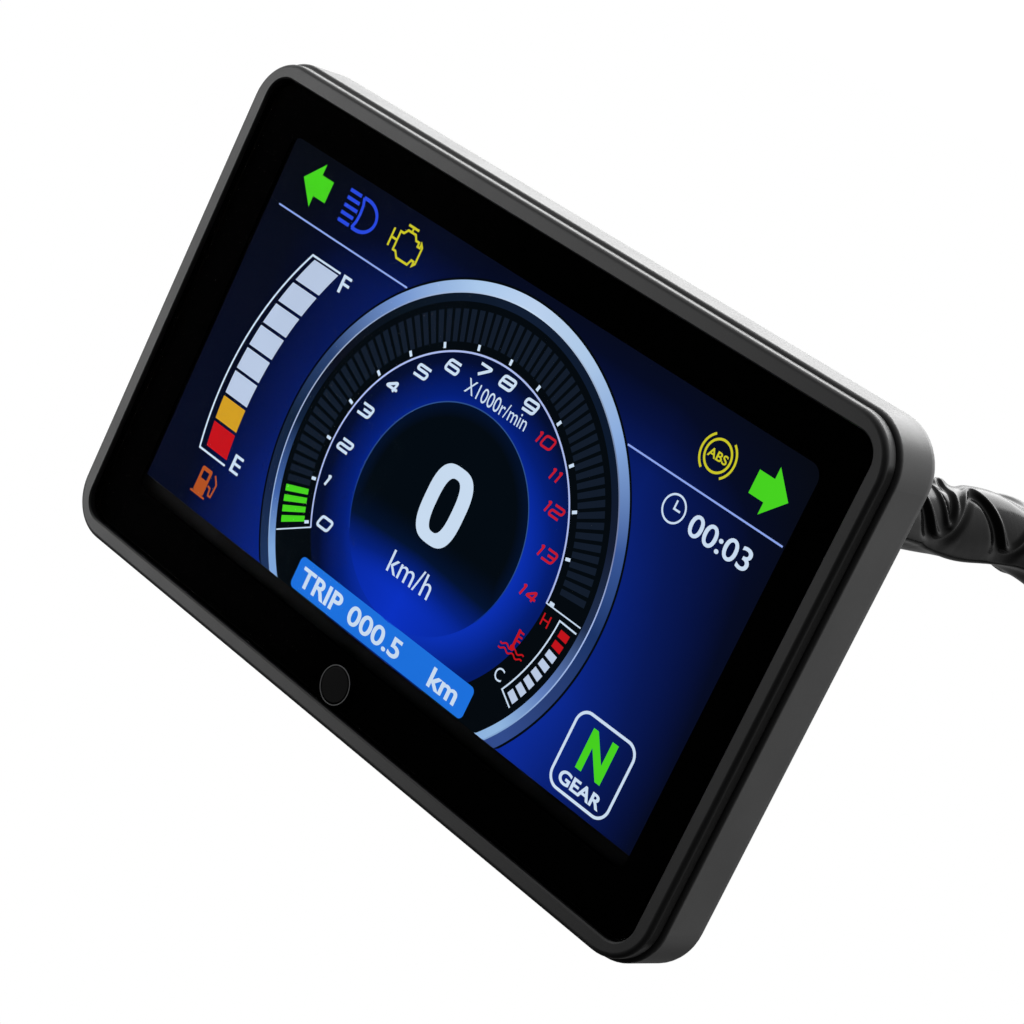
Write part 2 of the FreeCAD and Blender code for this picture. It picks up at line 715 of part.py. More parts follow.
def switch_body():
    """Square body of the tact switch on the board's front."""
    half = switch_size / 2
    body = block(button_x - half, board_front_y - switch_height, button_z - half, button_x + half,
                 board_front_y, button_z + half)
    bore = rod(button_x, button_z, plunger_radius + plunger_running_gap, board_front_y - switch_height,
               board_front_y - switch_height + plunger_depth + button_travel + moving_gap)
    return body.cut(bore)


def switch_plunger():
    """Round plunger that the button's stem presses."""
    return rod(button_x, button_z, plunger_radius, plunger_top_y,
               board_front_y - switch_height + plunger_depth)


def threaded_inserts():
    """Knurled brass inserts, bored for the bracket's screws."""
    result = []
    for x, z in insert_places:
        body = rod(x, z, insert_radius, -insert_length, 0)
        groove = rod(x, z, insert_radius, -insert_groove_to, -insert_groove_from)
        groove = groove.cut(rod(x, z, insert_radius - insert_groove_depth, -insert_groove_to,
                                -insert_groove_from))
        result.append(body.cut(groove).cut(rod(x, z, insert_bore_radius, -insert_length, 0)))
    return Part.makeCompound(result)


def vent_plug():
    """Breather with a slit cap, pressed in the back wall."""
    top = case_back_y + vent_cap_height
    cap = rod(vent_x, vent_z, vent_cap_radius, case_back_y, top)
    cap = cap.makeFillet(vent_cap_rounding, edges_at(cap, top))
    stem = rod(vent_x, vent_z, vent_stem_radius, case_floor_y - vent_stem_reach, case_back_y)
    long, wide = vent_slit_length / 2, vent_slit_width / 2
    slit = block(vent_x - long, top - vent_slit_depth, vent_z - wide,
                 vent_x + long, top + open_cut, vent_z + wide)
    return joined([cap, stem]).cut(slit)


def cable_gland():
    """Moulded grommet: inner flange, neck through the wall and a tapered, slotted strain relief."""
    solid = joined([rod(gland_x, gland_z, gland_inner_radius, bay_floor_y - gland_inner_flange, bay_floor_y),
                    rod(gland_x, gland_z, gland_neck_radius, bay_floor_y, 0),
                    cone(gland_x, gland_z, gland_base_radius, gland_tip_radius, 0, gland_length)])
    step = (gland_length - gland_slot_margin) / gland_slots
    rings = []
    for i in range(gland_slots):
        y = gland_slot_margin / 2 + step * i
        outer = rod(gland_x, gland_z, gland_base_radius + open_cut, y, y + gland_slot_width)
        here = gland_base_radius + (gland_tip_radius - gland_base_radius) * y / gland_length
        rings.append(outer.cut(rod(gland_x, gland_z, here - gland_slot_depth, y, y + gland_slot_width)))
    return solid.cut(Part.makeCompound(rings))


def harness_sleeve():
    """Soft sleeve over the leads."""
    return route_pipe(sleeve_route, sleeve_diameter / 2, report=True)


def end_axis(radius, z0, z1):
    """Cylinder down the last, vertical stretch of the harness."""
    return Part.makeCylinder(radius, z1 - z0, Vector(end_x, end_y, z0))


def end_block(grow_x, grow_y, z0, z1, rounding):
    """Block round the plug's axis, larger than the plug's body by a margin, with its upright edges rounded."""
    w, d = plug_width / 2 + grow_x, plug_depth / 2 + grow_y
    solid = block(end_x - w, end_y - d, z0, end_x + w, end_y + d, z1)
    return solid.makeFillet(rounding, [e for e in solid.Edges if e.BoundBox.ZLength > (z1 - z0) / 2])


def sleeve_collar():
    """Shrunk collar that closes the sleeve's end."""
    collar = end_axis(sleeve_diameter / 2 + collar_wall, collar_end_z, sleeve_end_z)
    return collar.makeFillet(collar_rounding, [e for e in collar.Edges if len(e.Vertexes) == 1])


def plug_cells():
    """Places of the plug's cavities, two rows."""
    return [(end_x + (i - (plug_columns - 1) / 2) * plug_pitch, end_y + s * plug_row_gap / 2)
            for i in range(plug_columns) for s in (-1, 1)]


def harness_wires():
    """Single wires between the collar and the plug."""
    wires = []
    for x, y in plug_cells():
        x0, y0 = end_x + (x - end_x) * wire_bunch_x, end_y + (y - end_y) * wire_bunch_y
        route = [(x0, y0, collar_end_z), (x0, y0, collar_end_z - wire_straight_top),
                 (x, y, plug_top_z + wire_straight_foot), (x, y, plug_top_z - terminal_inset)]
        wires.append(route_pipe(route, wire_radius))
    return Part.makeCompound(wires)


def plug_housing():
    """Wire-to-wire plug: body, rear skirt, latch arm and terminal cavities."""
    side = end_y - plug_depth / 2
    arm_y = side - latch_gap - latch_thickness
    foot = plug_foot_z + latch_tip_inset
    left, right = end_x - latch_half, end_x + latch_half
    body = end_block(0, 0, plug_foot_z, plug_top_z, plug_rounding)
    skirt = end_block(skirt_margin, skirt_margin, plug_top_z - skirt_length, plug_top_z, skirt_rounding)
    arm = block(left, arm_y, foot, right, side - latch_gap, plug_top_z - latch_top_inset)
    solid = joined([body, skirt, arm, block(left, arm_y, foot, right, side, foot + latch_root)])
    return solid.cut(Part.makeCompound([
        Part.makeCylinder(terminal_radius + terminal_gap, plug_length, Vector(x, y, plug_foot_z))
        for x, y in plug_cells()]))


def plug_terminals():
    """Socket terminals in the plug's cavities."""
    foot = plug_foot_z + terminal_inset
    terminals = []
    for x, y in plug_cells():
        place = Vector(x, y, foot)
        terminal = Part.makeCylinder(terminal_radius, plug_length - 2 * terminal_inset, place)
        terminals.append(terminal.cut(Part.makeCylinder(terminal_radius / 2, terminal_mouth, place)))
    return Part.makeCompound(terminals)


def plug_seal():
    """Soft seal ring round the plug's nose."""
    z = plug_top_z - seal_ring_drop
    outer = end_block(seal_ring_depth, seal_ring_depth, z, z + seal_ring_length,
                      plug_rounding + seal_ring_depth)
    return outer.cut(end_block(0, 0, z, z + seal_ring_length, plug_rounding))


def case_screw_set():
    """Screws that hold the rear housing to the frame."""
    return Part.makeCompound([pan_screw(x, z, head_seat_y, ledge_back_y + pilot_floor, screw_head_height)
                              for x, z in case_screws])


def board_screw_set():
    """Low-headed screws that hold the board and the shield to the frame's posts."""
    tip_y = board_back_y - board_screw_length
    return Part.makeCompound([pan_screw(x, z, board_back_y, tip_y, board_screw_head) for x, z in board_screws])


nodes = {
    "front_frame": front_frame, "cover_lens": cover_lens, "lens_adhesive": lens_adhesive,
    "window_gasket": window_gasket, "display_panel": display_panel, "backlight_tray": backlight_tray,
    "light_guide": light_guide, "cushion_pads": cushion_pads, "shield_plate": shield_plate,
    "main_board": main_board, "display_ribbon": display_ribbon, "ribbon_socket": ribbon_socket,
    "board_chips": board_chips, "power_inductor": power_inductor, "filter_capacitors": filter_capacitors,
    "lead_header": lead_header, "lead_plug": lead_plug, "inner_leads": inner_leads,
    "rear_housing": rear_housing, "case_seal": case_seal, "button_cap": push_button,
    "button_boot": button_boot, "switch_body": switch_body, "switch_plunger": switch_plunger,
    "threaded_inserts": threaded_inserts, "vent_plug": vent_plug, "cable_gland": cable_gland,
    "harness_sleeve": harness_sleeve, "sleeve_collar": sleeve_collar, "harness_wires": harness_wires,
    "plug_housing": plug_housing, "plug_terminals": plug_terminals, "plug_seal": plug_seal,
    "case_screws": case_screw_set, "board_screws": board_screw_set,
}

os.makedirs("parts", exist_ok=True)
for name, make in nodes.items():
    export(name, make())
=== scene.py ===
import bpy
import math
import numpy as np
from mathutils import Matrix, Vector


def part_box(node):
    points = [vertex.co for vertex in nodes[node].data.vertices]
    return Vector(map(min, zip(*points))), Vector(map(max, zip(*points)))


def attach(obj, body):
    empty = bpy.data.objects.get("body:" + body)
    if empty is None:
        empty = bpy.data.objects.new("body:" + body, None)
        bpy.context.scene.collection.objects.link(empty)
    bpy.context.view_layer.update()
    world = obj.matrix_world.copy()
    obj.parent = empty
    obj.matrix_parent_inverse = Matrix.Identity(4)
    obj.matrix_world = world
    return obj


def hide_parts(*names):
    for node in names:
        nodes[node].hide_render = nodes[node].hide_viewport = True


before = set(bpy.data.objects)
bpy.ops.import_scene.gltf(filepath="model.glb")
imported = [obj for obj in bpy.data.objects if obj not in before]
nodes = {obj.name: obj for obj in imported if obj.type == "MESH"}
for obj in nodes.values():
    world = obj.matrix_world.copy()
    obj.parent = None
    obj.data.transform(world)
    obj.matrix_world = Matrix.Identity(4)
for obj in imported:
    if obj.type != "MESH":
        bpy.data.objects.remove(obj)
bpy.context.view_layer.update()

mm = 0.001
print("frame loaded:", len(nodes), "nodes")

scene = bpy.context.scene
scene.view_settings.view_transform = "Standard"


class Node:
    # short way to add shader nodes and join them
    def __init__(self, tree):
        self.tree = tree

    def add(self, kind, settings=None, **inputs):
        node = self.tree.nodes.new(kind)
        for key, value in (settings or {}).items():
            setattr(node, key, value)
        for key, value in inputs.items():
            socket = node.inputs[int(key[1:])] if key[0] == "i" and key[1:].isdigit() else node.inputs[key]
            self.put(value, socket)
        return node

    def put(self, value, socket):
        if isinstance(value, bpy.types.NodeSocket):
            self.tree.links.new(value, socket)
        else:
            socket.default_value = value

    def math(self, kind, a, b=0.0):
        return self.add("ShaderNodeMath", {"operation": kind}, i0=a, i1=b).outputs[0]

    def spread(self, value, start, end, low=0.0, high=1.0, shape="LINEAR"):
        # a value between start and end as one between low and high
        return self.add("ShaderNodeMapRange", {"interpolation_type": shape}, i0=value, i1=start, i2=end,
                        i3=low, i4=high).outputs[0]

    def mix(self, factor, a, b):
        node = self.add("ShaderNodeMix", {"data_type": "RGBA"})
        self.put(factor, node.inputs["Factor"])
        self.put(a, node.inputs["A"])
        self.put(b, node.inputs["B"])
        return node.outputs["Result"]

    def place(self):
        return self.add("ShaderNodeTexCoord").outputs["Object"]

    def noise(self, place, scale, detail=2.0, distortion=0.0):
        node = self.add("ShaderNodeTexNoise", Vector=place, Scale=scale, Detail=detail, Distortion=distortion)
        return node.outputs["Fac"]

    def ramp(self, factor, stops):
        node = self.add("ShaderNodeValToRGB", Fac=factor)
        band = node.color_ramp
        while len(band.elements) < len(stops):
            band.elements.new(0.5)
        for element, (place, colour) in zip(band.elements, stops):
            element.position = place
            element.color = (*colour, 1) if len(colour) == 3 else colour
        return node.outputs["Color"]


def grey(value):
    return (value, value, value, 1)


camera = {"place": (0.28937, -0.36583, 0.10003), "look": (-0.6076, 0.7641, -0.2167),
          "up": (-0.4602, -0.1163, 0.8802), "lens": 101.18, "sensor": 36, "nearest": 0.01}
lights = {"topBack": {"place": (-0.5, 1.0, 0.75), "target": (0, 0, 0), "size": (1.4, 0.8), "power": 16},
          "leftFront": {"place": (-0.46, -0.34, -0.04), "target": (-0.06, 0, -0.01), "size": (0.26, 0.5),
                        "power": 1.5}}
# light from all round: weights of a direction's X, Y and Z, and the stretches over which it fades
studio = {"dark": 0.055, "bright": 1.5, "lean": (-0.3, 0.8, 0.45), "fade": (-0.35, 1.0),
          "below": (-0.28, 0.12), "belowShare": 0.22, "right": (0.05, 0.5)}


def addCamera():
    data = bpy.data.cameras.new("camera")
    data.lens = camera["lens"]
    data.sensor_width = camera["sensor"]
    data.clip_start = camera["nearest"]
    back = -Vector(camera["look"]).normalized()
    right = Vector(camera["up"]).cross(back).normalized()
    up = back.cross(right)
    turn = Matrix((right, up, back)).transposed()
    cam = bpy.data.objects.new("camera", data)
    cam.matrix_world = Matrix.Translation(camera["place"]) @ turn.to_4x4()
    scene.collection.objects.link(cam)
    scene.camera = cam


def addLight(name, place, target, size, power):
    data = bpy.data.lights.new(name, "AREA")
    data.shape = "RECTANGLE"
    data.size, data.size_y = size
    data.energy = power
    lamp = bpy.data.objects.new(name, data)
    lamp.location = place
    lamp.rotation_euler = (Vector(target) - Vector(place)).to_track_quat("-Z", "Y").to_euler()
    scene.collection.objects.link(lamp)


def addWorld():
    # plain white behind the object; what lights it is bright at the back and top, dark in front,
    # and dimmer below except towards the right
    world = bpy.data.worlds.new("studio")
    world.use_nodes = True
    tree = world.node_tree
    n = Node(tree)
    way = n.add("ShaderNodeSeparateXYZ", Vector=n.add("ShaderNodeTexCoord").outputs["Generated"]).outputs
    x, y, z = (n.math("MULTIPLY", way[axis], weight) for axis, weight in zip("XYZ", studio["lean"]))
    slope = n.math("ADD", n.math("ADD", y, x), z)
    lit = n.spread(slope, *studio["fade"], studio["dark"], studio["bright"], shape="SMOOTHSTEP")
    low = n.spread(way["Z"], *studio["below"], studio["belowShare"])
    lit = n.math("MULTIPLY", lit, n.math("MAXIMUM", low, n.spread(way["X"], *studio["right"])))
    seen = n.add("ShaderNodeLightPath").outputs["Is Camera Ray"]
    tree.nodes["Background"].inputs["Color"].default_value = grey(1.0)
    n.put(n.math("MAXIMUM", seen, lit), tree.nodes["Background"].inputs["Strength"])
    scene.world = world


addCamera()
for lightName, light in lights.items():
    addLight(lightName, **light)
addWorld()
print("camera and lights placed")


def newPiece(name, points, faces, material, smooth=False, body="case"):
    mesh = bpy.data.meshes.new(name)
    mesh.from_pydata([tuple(p) for p in np.asarray(points, float)], [], [tuple(f) for f in faces])
    mesh.validate()
    mesh.update()
    if smooth:
        mesh.shade_smooth()
    mesh.materials.append(material)
    piece = bpy.data.objects.new(name, mesh)
    scene.collection.objects.link(piece)
    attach(piece, body)
    return piece


def gridFaces(rows, columns, closeColumns=False):
    # quads between neighbours of a grid that is stored row by row
    across = np.arange(columns if closeColumns else columns - 1)
    r, c = np.meshgrid(np.arange(rows - 1), across, indexing="ij")
    n = (c + 1) % columns
    quads = np.stack([r * columns + c, r * columns + n, (r + 1) * columns + n, (r + 1) * columns + c], -1)
    return quads.reshape(-1, 4).tolist()


# moulded or brushed surface: its broad noise, its dust and the share of each
surface = {"broad": 90.0, "specks": 1500.0, "speckLevel": 0.73, "dustColour": 0.35, "roughShare": 0.5,
           "broadHeight": 0.3}


def surfaceGroup():
    # noise at two scales gives colour, roughness and height; rare specks are dust
    tree = bpy.data.node_groups.new("mouldedSurface", "ShaderNodeTree")
    for name, kind, value in (("Colour", "Color", grey(0.03)), ("Grain Scale", "Float", 9000.0),
                              ("Variation", "Float", 0.15), ("Roughness", "Float", 0.5),
                              ("Dust", "Float", 0.05), ("Stretch", "Vector", (1, 1, 1))):
        socket = tree.interface.new_socket(name, in_out="INPUT", socket_type="NodeSocket" + kind)
        socket.default_value = value
    for name, kind in (("Colour", "Color"), ("Roughness", "Float"), ("Height", "Float")):
        tree.interface.new_socket(name, in_out="OUTPUT", socket_type="NodeSocket" + kind)
    n = Node(tree)
    given = n.add("NodeGroupInput").outputs
    place = n.place()
    drawn = n.add("ShaderNodeVectorMath", {"operation": "MULTIPLY"}, i0=place, i1=given["Stretch"]).outputs[0]
    fine, broad = n.noise(drawn, given["Grain Scale"], 3.0), n.noise(drawn, surface["broad"], 5.0)
    specks = n.noise(place, surface["specks"])
    speck = n.math("MULTIPLY", n.math("GREATER_THAN", specks, surface["speckLevel"]), given["Dust"])
    swing = n.math("MULTIPLY", n.math("SUBTRACT", fine, 0.5), given["Variation"])
    swing = n.math("ADD", swing, n.math("MULTIPLY", n.math("SUBTRACT", broad, 0.5), given["Variation"]))
    gain = n.math("ADD", 1.0, swing)
    scaled = n.add("ShaderNodeVectorMath", {"operation": "SCALE"}, i0=given["Colour"], Scale=gain).outputs[0]
    out = n.add("NodeGroupOutput").inputs
    n.put(n.mix(speck, scaled, grey(surface["dustColour"])), out["Colour"])
    rough = n.math("MULTIPLY", swing, surface["roughShare"])
    n.put(n.math("ADD", given["Roughness"], rough), out["Roughness"])
    n.put(n.math("ADD", fine, n.math("MULTIPLY", broad, surface["broadHeight"])), out["Height"])
    return tree


mouldedSurface = surfaceGroup()


def newMaterial(name):
    material = bpy.data.materials.new(name)
    material.use_nodes = True
    tree = material.node_tree
    return material, Node(tree), tree.nodes["Principled BSDF"]


def mould(n, shader, values):
    # links the shared surface to a shader and gives back its height
    group = n.add("ShaderNodeGroup", {"node_tree": mouldedSurface})
    for key, value in values.items():
        group.inputs[key].default_value = value
    n.put(group.outputs["Colour"], shader.inputs["Base Color"])
    n.put(group.outputs["Roughness"], shader.inputs["Roughness"])
    return group.outputs["Height"]


def finish(name, colour, roughness=0.5, grain=9000.0, bump=0.2, depth=0.00002, variation=0.3, dust=0.0,
           metallic=0.0, stretch=(1, 1, 1), coat=0.0, specular=0.5):
    material, n, shader = newMaterial(name)
    height = mould(n, shader, {"Colour": (*colour, 1), "Grain Scale": grain, "Variation": variation,
                               "Roughness": roughness, "Dust": dust, "Stretch": stretch})
    lumps = n.add("ShaderNodeBump", Height=height, Strength=bump, Distance=depth)
    n.put(lumps.outputs[0], shader.inputs["Normal"])
    shader.inputs["Metallic"].default_value = metallic
    shader.inputs["Coat Weight"].default_value = coat
    shader.inputs["Specular IOR Level"].default_value = specular
    return material


finishes = {
    "front_frame": dict(colour=(0.016, 0.0162, 0.0168), roughness=0.44, grain=5200, bump=0.35, dust=0.02),
    "rear_housing": dict(colour=(0.02, 0.0202, 0.0208), roughness=0.42, grain=5200, bump=0.4, dust=0.015),
    "lens_adhesive": dict(colour=(0.003, 0.003, 0.003), roughness=0.8, specular=0.1),
    "window_gasket": dict(colour=(0.0008, 0.0008, 0.0008), roughness=0.95, grain=2500, bump=0.5,
                          specular=0.0),
    "display_panel": dict(colour=(0.0008, 0.0008, 0.0009), roughness=0.5, grain=700, bump=0.02,
                          specular=0.03),
    "backlight_tray": dict(colour=(0.6, 0.6, 0.62), roughness=0.35, metallic=1, stretch=(1, 1, 12),
                           grain=1500),
    "light_guide": dict(colour=(0.8, 0.82, 0.85), roughness=0.15, grain=800, bump=0.05),
    "cushion_pads": dict(colour=(0.01, 0.01, 0.01), roughness=0.95, grain=2500, bump=0.6),
    "shield_plate": dict(colour=(0.56, 0.57, 0.58), roughness=0.38, metallic=1, stretch=(10, 1, 1),
                         grain=1400),
    "main_board": dict(colour=(0.012, 0.09, 0.035), roughness=0.35, grain=900, bump=0.15, coat=0.4),
    "display_ribbon": dict(colour=(0.42, 0.19, 0.04), roughness=0.3, grain=900, bump=0.05),
    "ribbon_socket": dict(colour=(0.7, 0.66, 0.56), roughness=0.5, grain=3000),
    "board_chips": dict(colour=(0.02, 0.02, 0.022), roughness=0.55, grain=7000, bump=0.4),
    "power_inductor": dict(colour=(0.06, 0.06, 0.065), roughness=0.6, grain=3000, bump=0.5),
    "filter_capacitors": dict(colour=(0.7, 0.71, 0.73), roughness=0.3, metallic=1, stretch=(1, 12, 1),
                              grain=1500),
    "lead_header": dict(colour=(0.75, 0.72, 0.62), roughness=0.5, grain=3000),
    "lead_plug": dict(colour=(0.78, 0.76, 0.68), roughness=0.5, grain=3000),
    "inner_leads": dict(colour=(0.35, 0.02, 0.02), roughness=0.4, grain=2000),
    "case_seal": dict(colour=(0.01, 0.01, 0.01), roughness=0.6, grain=3000),
    "button_cap": dict(colour=(0.0016, 0.0016, 0.0017), roughness=0.5, grain=7000, bump=0.1, specular=0.04),
    "button_boot": dict(colour=(0.02, 0.02, 0.02), roughness=0.6, grain=3000),
    "switch_body": dict(colour=(0.03, 0.03, 0.03), roughness=0.5, grain=4000),
    "switch_plunger": dict(colour=(0.5, 0.46, 0.36), roughness=0.5, grain=4000),
    "threaded_inserts": dict(colour=(0.72, 0.5, 0.22), roughness=0.3, metallic=1, stretch=(1, 9, 1),
                             grain=1800),
    "vent_plug": dict(colour=(0.03, 0.03, 0.031), roughness=0.45, grain=6000),
    "cable_gland": dict(colour=(0.012, 0.012, 0.0125), roughness=0.55, grain=3500, bump=0.3, dust=0.05),
    "sleeve_collar": dict(colour=(0.014, 0.014, 0.015), roughness=0.3, grain=1500, bump=0.15),
    "plug_housing": dict(colour=(0.026, 0.027, 0.029), roughness=0.45, grain=5200, bump=0.3, dust=0.04),
    "plug_terminals": dict(colour=(0.74, 0.6, 0.34), roughness=0.28, metallic=1, grain=1500),
    "plug_seal": dict(colour=(0.34, 0.07, 0.025), roughness=0.55, grain=3000),
    "case_screws": dict(colour=(0.42, 0.42, 0.43), roughness=0.32, metallic=1, grain=2500, bump=0.2),
    "board_screws": dict(colour=(0.5, 0.5, 0.5), roughness=0.32, metallic=1, grain=2500, bump=0.2),
}


def dress(node, material):
    data = nodes[node].data
    data.materials.clear()
    data.materials.append(material)


for node, look in finishes.items():
    dress(node, finish(node + "Finish", **look))


# shade on the frame's left and right sides: how far in from the side and back from the face it fades in
frameShade = {"side": (0.9 * mm, 0.2 * mm), "back": (0.2 * mm, 0.9 * mm), "colour": 0.003}


def shadeFrameSides():
    # the sides stand in the shade of the housing: darker and duller behind the face
    n = Node(nodes["front_frame"].data.materials[0].node_tree)
    shader = n.tree.nodes["Principled BSDF"]
    place = n.add("ShaderNodeSeparateXYZ", Vector=n.place()).outputs
    low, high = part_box("front_frame")
    side = n.spread(n.math("ABSOLUTE", place["X"]), *(high.x - inset for inset in frameShade["side"]))
    deep = n.spread(place["Y"], *(low.y + depth for depth in frameShade["back"]))
    shade = n.math("MULTIPLY", side, deep)
    colour = shader.inputs["Base Color"].links[0].from_socket
    rough = shader.inputs["Roughness"].links[0].from_socket
    n.put(n.mix(shade, colour, grey(frameShade["colour"])), shader.inputs["Base Color"])
    n.put(n.math("MAXIMUM", rough, shade), shader.inputs["Roughness"])


glass = {"ior": 1.015, "specular": 0.12, "wipes": 60.0, "roughness": (0.015, 0.05)}


def lensGlass():
    # coated glass that hardly mirrors, with faint marks of a cloth
    material, n, shader = newMaterial("coverLensGlass")
    wipes = n.noise(n.place(), glass["wipes"], 6.0, 1.5)
    n.put(n.spread(wipes, 0.35, 0.8, *glass["roughness"]), shader.inputs["Roughness"])
    shader.inputs["Base Color"].default_value = grey(1.0)
    shader.inputs["Transmission Weight"].default_value = 1
    shader.inputs["IOR"].default_value = glass["ior"]
    shader.inputs["Specular IOR Level"].default_value = glass["specular"]
    return material


wireHues = [(0.3, 0.01, 0.01), (0.01, 0.01, 0.012), (0.02, 0.16, 0.04), (0.35, 0.24, 0.01), (0.01, 0.04, 0.3),
            (0.4, 0.4, 0.4)]


def wireColours():
    # each wire takes the colour of its column, from its place across the plug
    material, n, shader = newMaterial("harnessWireInsulation")
    place = n.place()
    across = n.add("ShaderNodeSeparateXYZ", Vector=place)
    low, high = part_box("harness_wires")
    step = n.spread(across.outputs["X"], low.x, high.x)
    side = n.math("GREATER_THAN", across.outputs["Y"], (low.y + high.y) / 2)
    pick = n.math("FRACT", n.math("ADD", step, n.math("MULTIPLY", side, 0.5)))
    node = n.add("ShaderNodeValToRGB", Fac=pick)
    band = node.color_ramp
    band.interpolation = "CONSTANT"
    while len(band.elements) < len(wireHues):
        band.elements.new(0.5)
    for i, hue in enumerate(wireHues):
        band.elements[i].position = i / len(wireHues)
        band.elements[i].color = (*hue, 1)
    n.put(node.outputs["Color"], shader.inputs["Base Color"])
    n.put(n.spread(n.noise(place, 2500.0), 0.0, 1.0, 0.3, 0.45), shader.inputs["Roughness"])
    return material


shadeFrameSides()
dress("cover_lens", lensGlass())
dress("harness_wires", wireColours())
print("frame pieces dressed")


# harness sleeve: a soft skin over the leads, creased where it bends
sleeve = {"diameter": 11 * mm, "around": 144, "along": 620, "fold": 0.85 * mm, "flatten": 0.04, "swell": 0.05,
          "ends": 0.006, "colour": (0.004, 0.0039, 0.0041), "roughness": 0.2, "ior": 1.2}
# pleats wander along the skin: angle of the middle, swing, length of a wave, start, width and height
pleats = [(4.3, 0.8, 19.4, 21.6, 0.55, 1.0), (5.55, 0.2, 41.0, 3.0, 1.1, 0.8),
          (7.2, 0.5, 16.0, 10.0, 0.9, 0.9), (8.7, 0.6, 22.0, 5.0, 0.9, 1.0)]
# swags hang across it: start, angle of the foot, depth and half width; more follow at even steps
swag = {"first": (13.6, 4.75, 1.3, 2.9), "places": range(46, 150, 9), "depth": (0.8, 1.2), "half": (2.6, 4.0),
        "high": 0.8, "wide": 0.55}
routePoints = [(55.6, 8.5, 28.3), (55.6, 25.5, 28.3), (56.6, 44.0, 29.4), (61.4, 64.0, 26.0),
               (67.4, 77.5, 15.6), (74.0, 88.0, 3.0), (79.8, 95.0, -12.0), (83.6, 99.0, -28.4),
               (85.0, 100.6, -44.0), (85.0, 100.6, -59.0)]


def routeLine():
    curve = bpy.data.curves.new("sleeveRoute", "CURVE")
    curve.dimensions = "3D"
    curve.resolution_u = 40
    spline = curve.splines.new("NURBS")
    spline.points.add(len(routePoints) - 1)
    for point, place in zip(spline.points, routePoints):
        point.co = (*[c * mm for c in place], 1)
    spline.order_u = 3
    spline.use_endpoint_u = True
    holder = bpy.data.objects.new("sleeveRoute", curve)
    scene.collection.objects.link(holder)
    line = bpy.data.meshes.new_from_object(holder)
    points = np.array([v.co for v in line.vertices])
    bpy.data.objects.remove(holder)
    return points


def evenly(points, count):
    # the same line with its points an equal distance apart
    walk = np.r_[0, np.cumsum(np.linalg.norm(np.diff(points, axis=0), axis=1))]
    s = np.linspace(0, walk[-1], count)
    return np.stack([np.interp(s, walk, points[:, k]) for k in range(3)], -1), s


def sweepFrames(line):
    # a side and an up direction at each point, from one fixed sideways direction made square to the line
    along = np.gradient(line, axis=0)
    along /= np.linalg.norm(along, axis=1)[:, None]
    side = np.cross(along, np.array([1.0, -0.55, 0.25]))
    side /= np.linalg.norm(side, axis=1)[:, None]
    return side, np.cross(along, side)


def wrapped(angle):
    return (angle + math.pi) % (2 * math.pi) - math.pi


def fold(off, slope, wide):
    # a crest and the hollow beside it, as a function of the distance square to the crest's line
    r = sleeve["diameter"] / 2
    away = off * r / np.sqrt(1 + (slope * r) ** 2) / (wide * mm)
    return np.exp(-away ** 2) - 0.6 * np.exp(-((away - 2.5) / 1.7) ** 2)


def sleeveRadius(s, a):
    # radius = half the diameter plus folds; a pleat's crest is angle = middle - swing * cos(2 pi s / length),
    # and a swag's is a U, angle = foot - depth * (s / half width)^2
    folds = 0
    for middle, swing, length, start, wide, high in pleats:
        wave = 2 * math.pi * (s - start * mm) / (length * mm)
        slope = swing * 2 * math.pi / (length * mm) * np.sin(wave)
        folds = folds + high * fold(wrapped(a - middle + swing * np.cos(wave)), slope, wide)
    rng = np.random.default_rng(5)
    swags = [swag["first"]]
    swags += [(k, rng.uniform(0, 6.28), rng.uniform(*swag["depth"]), rng.uniform(*swag["half"]))
              for k in swag["places"]]
    for start, foot, deep, half in swags:
        along = (s - start * mm) / (half * mm)
        off = wrapped(foot - deep * along ** 2 - a)
        fade = 1 / (1 + (np.abs(along) / 1.05) ** 10)
        folds = folds + swag["high"] * fade * fold(off, 2 * deep * along / (half * mm), swag["wide"])
    swell = sleeve["swell"] * np.sin(s * 170 - 2.4 + 1.2 * np.sin(a + 0.6))
    swell = swell + sleeve["flatten"] * np.cos(2 * a + 30 * s)
    ends = np.clip(np.minimum(s, s.max() - s) / sleeve["ends"], 0, 1)
    smooth = sleeve["diameter"] / 2 * (1.03 + swell * ends)
    return smooth + np.tanh(folds) * sleeve["fold"] * (0.2 + 0.8 * ends)


def sleeveFinish():
    material, n, shader = newMaterial("sleeveVinyl")
    mould(n, shader, {"Colour": (*sleeve["colour"], 1), "Grain Scale": 900.0, "Variation": 0.3,
                      "Roughness": sleeve["roughness"], "Dust": 0.0})
    creases = n.noise(n.place(), 260.0, 3.0, 1.2)
    lumps = n.add("ShaderNodeBump", Height=creases, Strength=0.06, Distance=0.0005)
    n.put(lumps.outputs[0], shader.inputs["Normal"])
    shader.inputs["IOR"].default_value = sleeve["ior"]
    return material


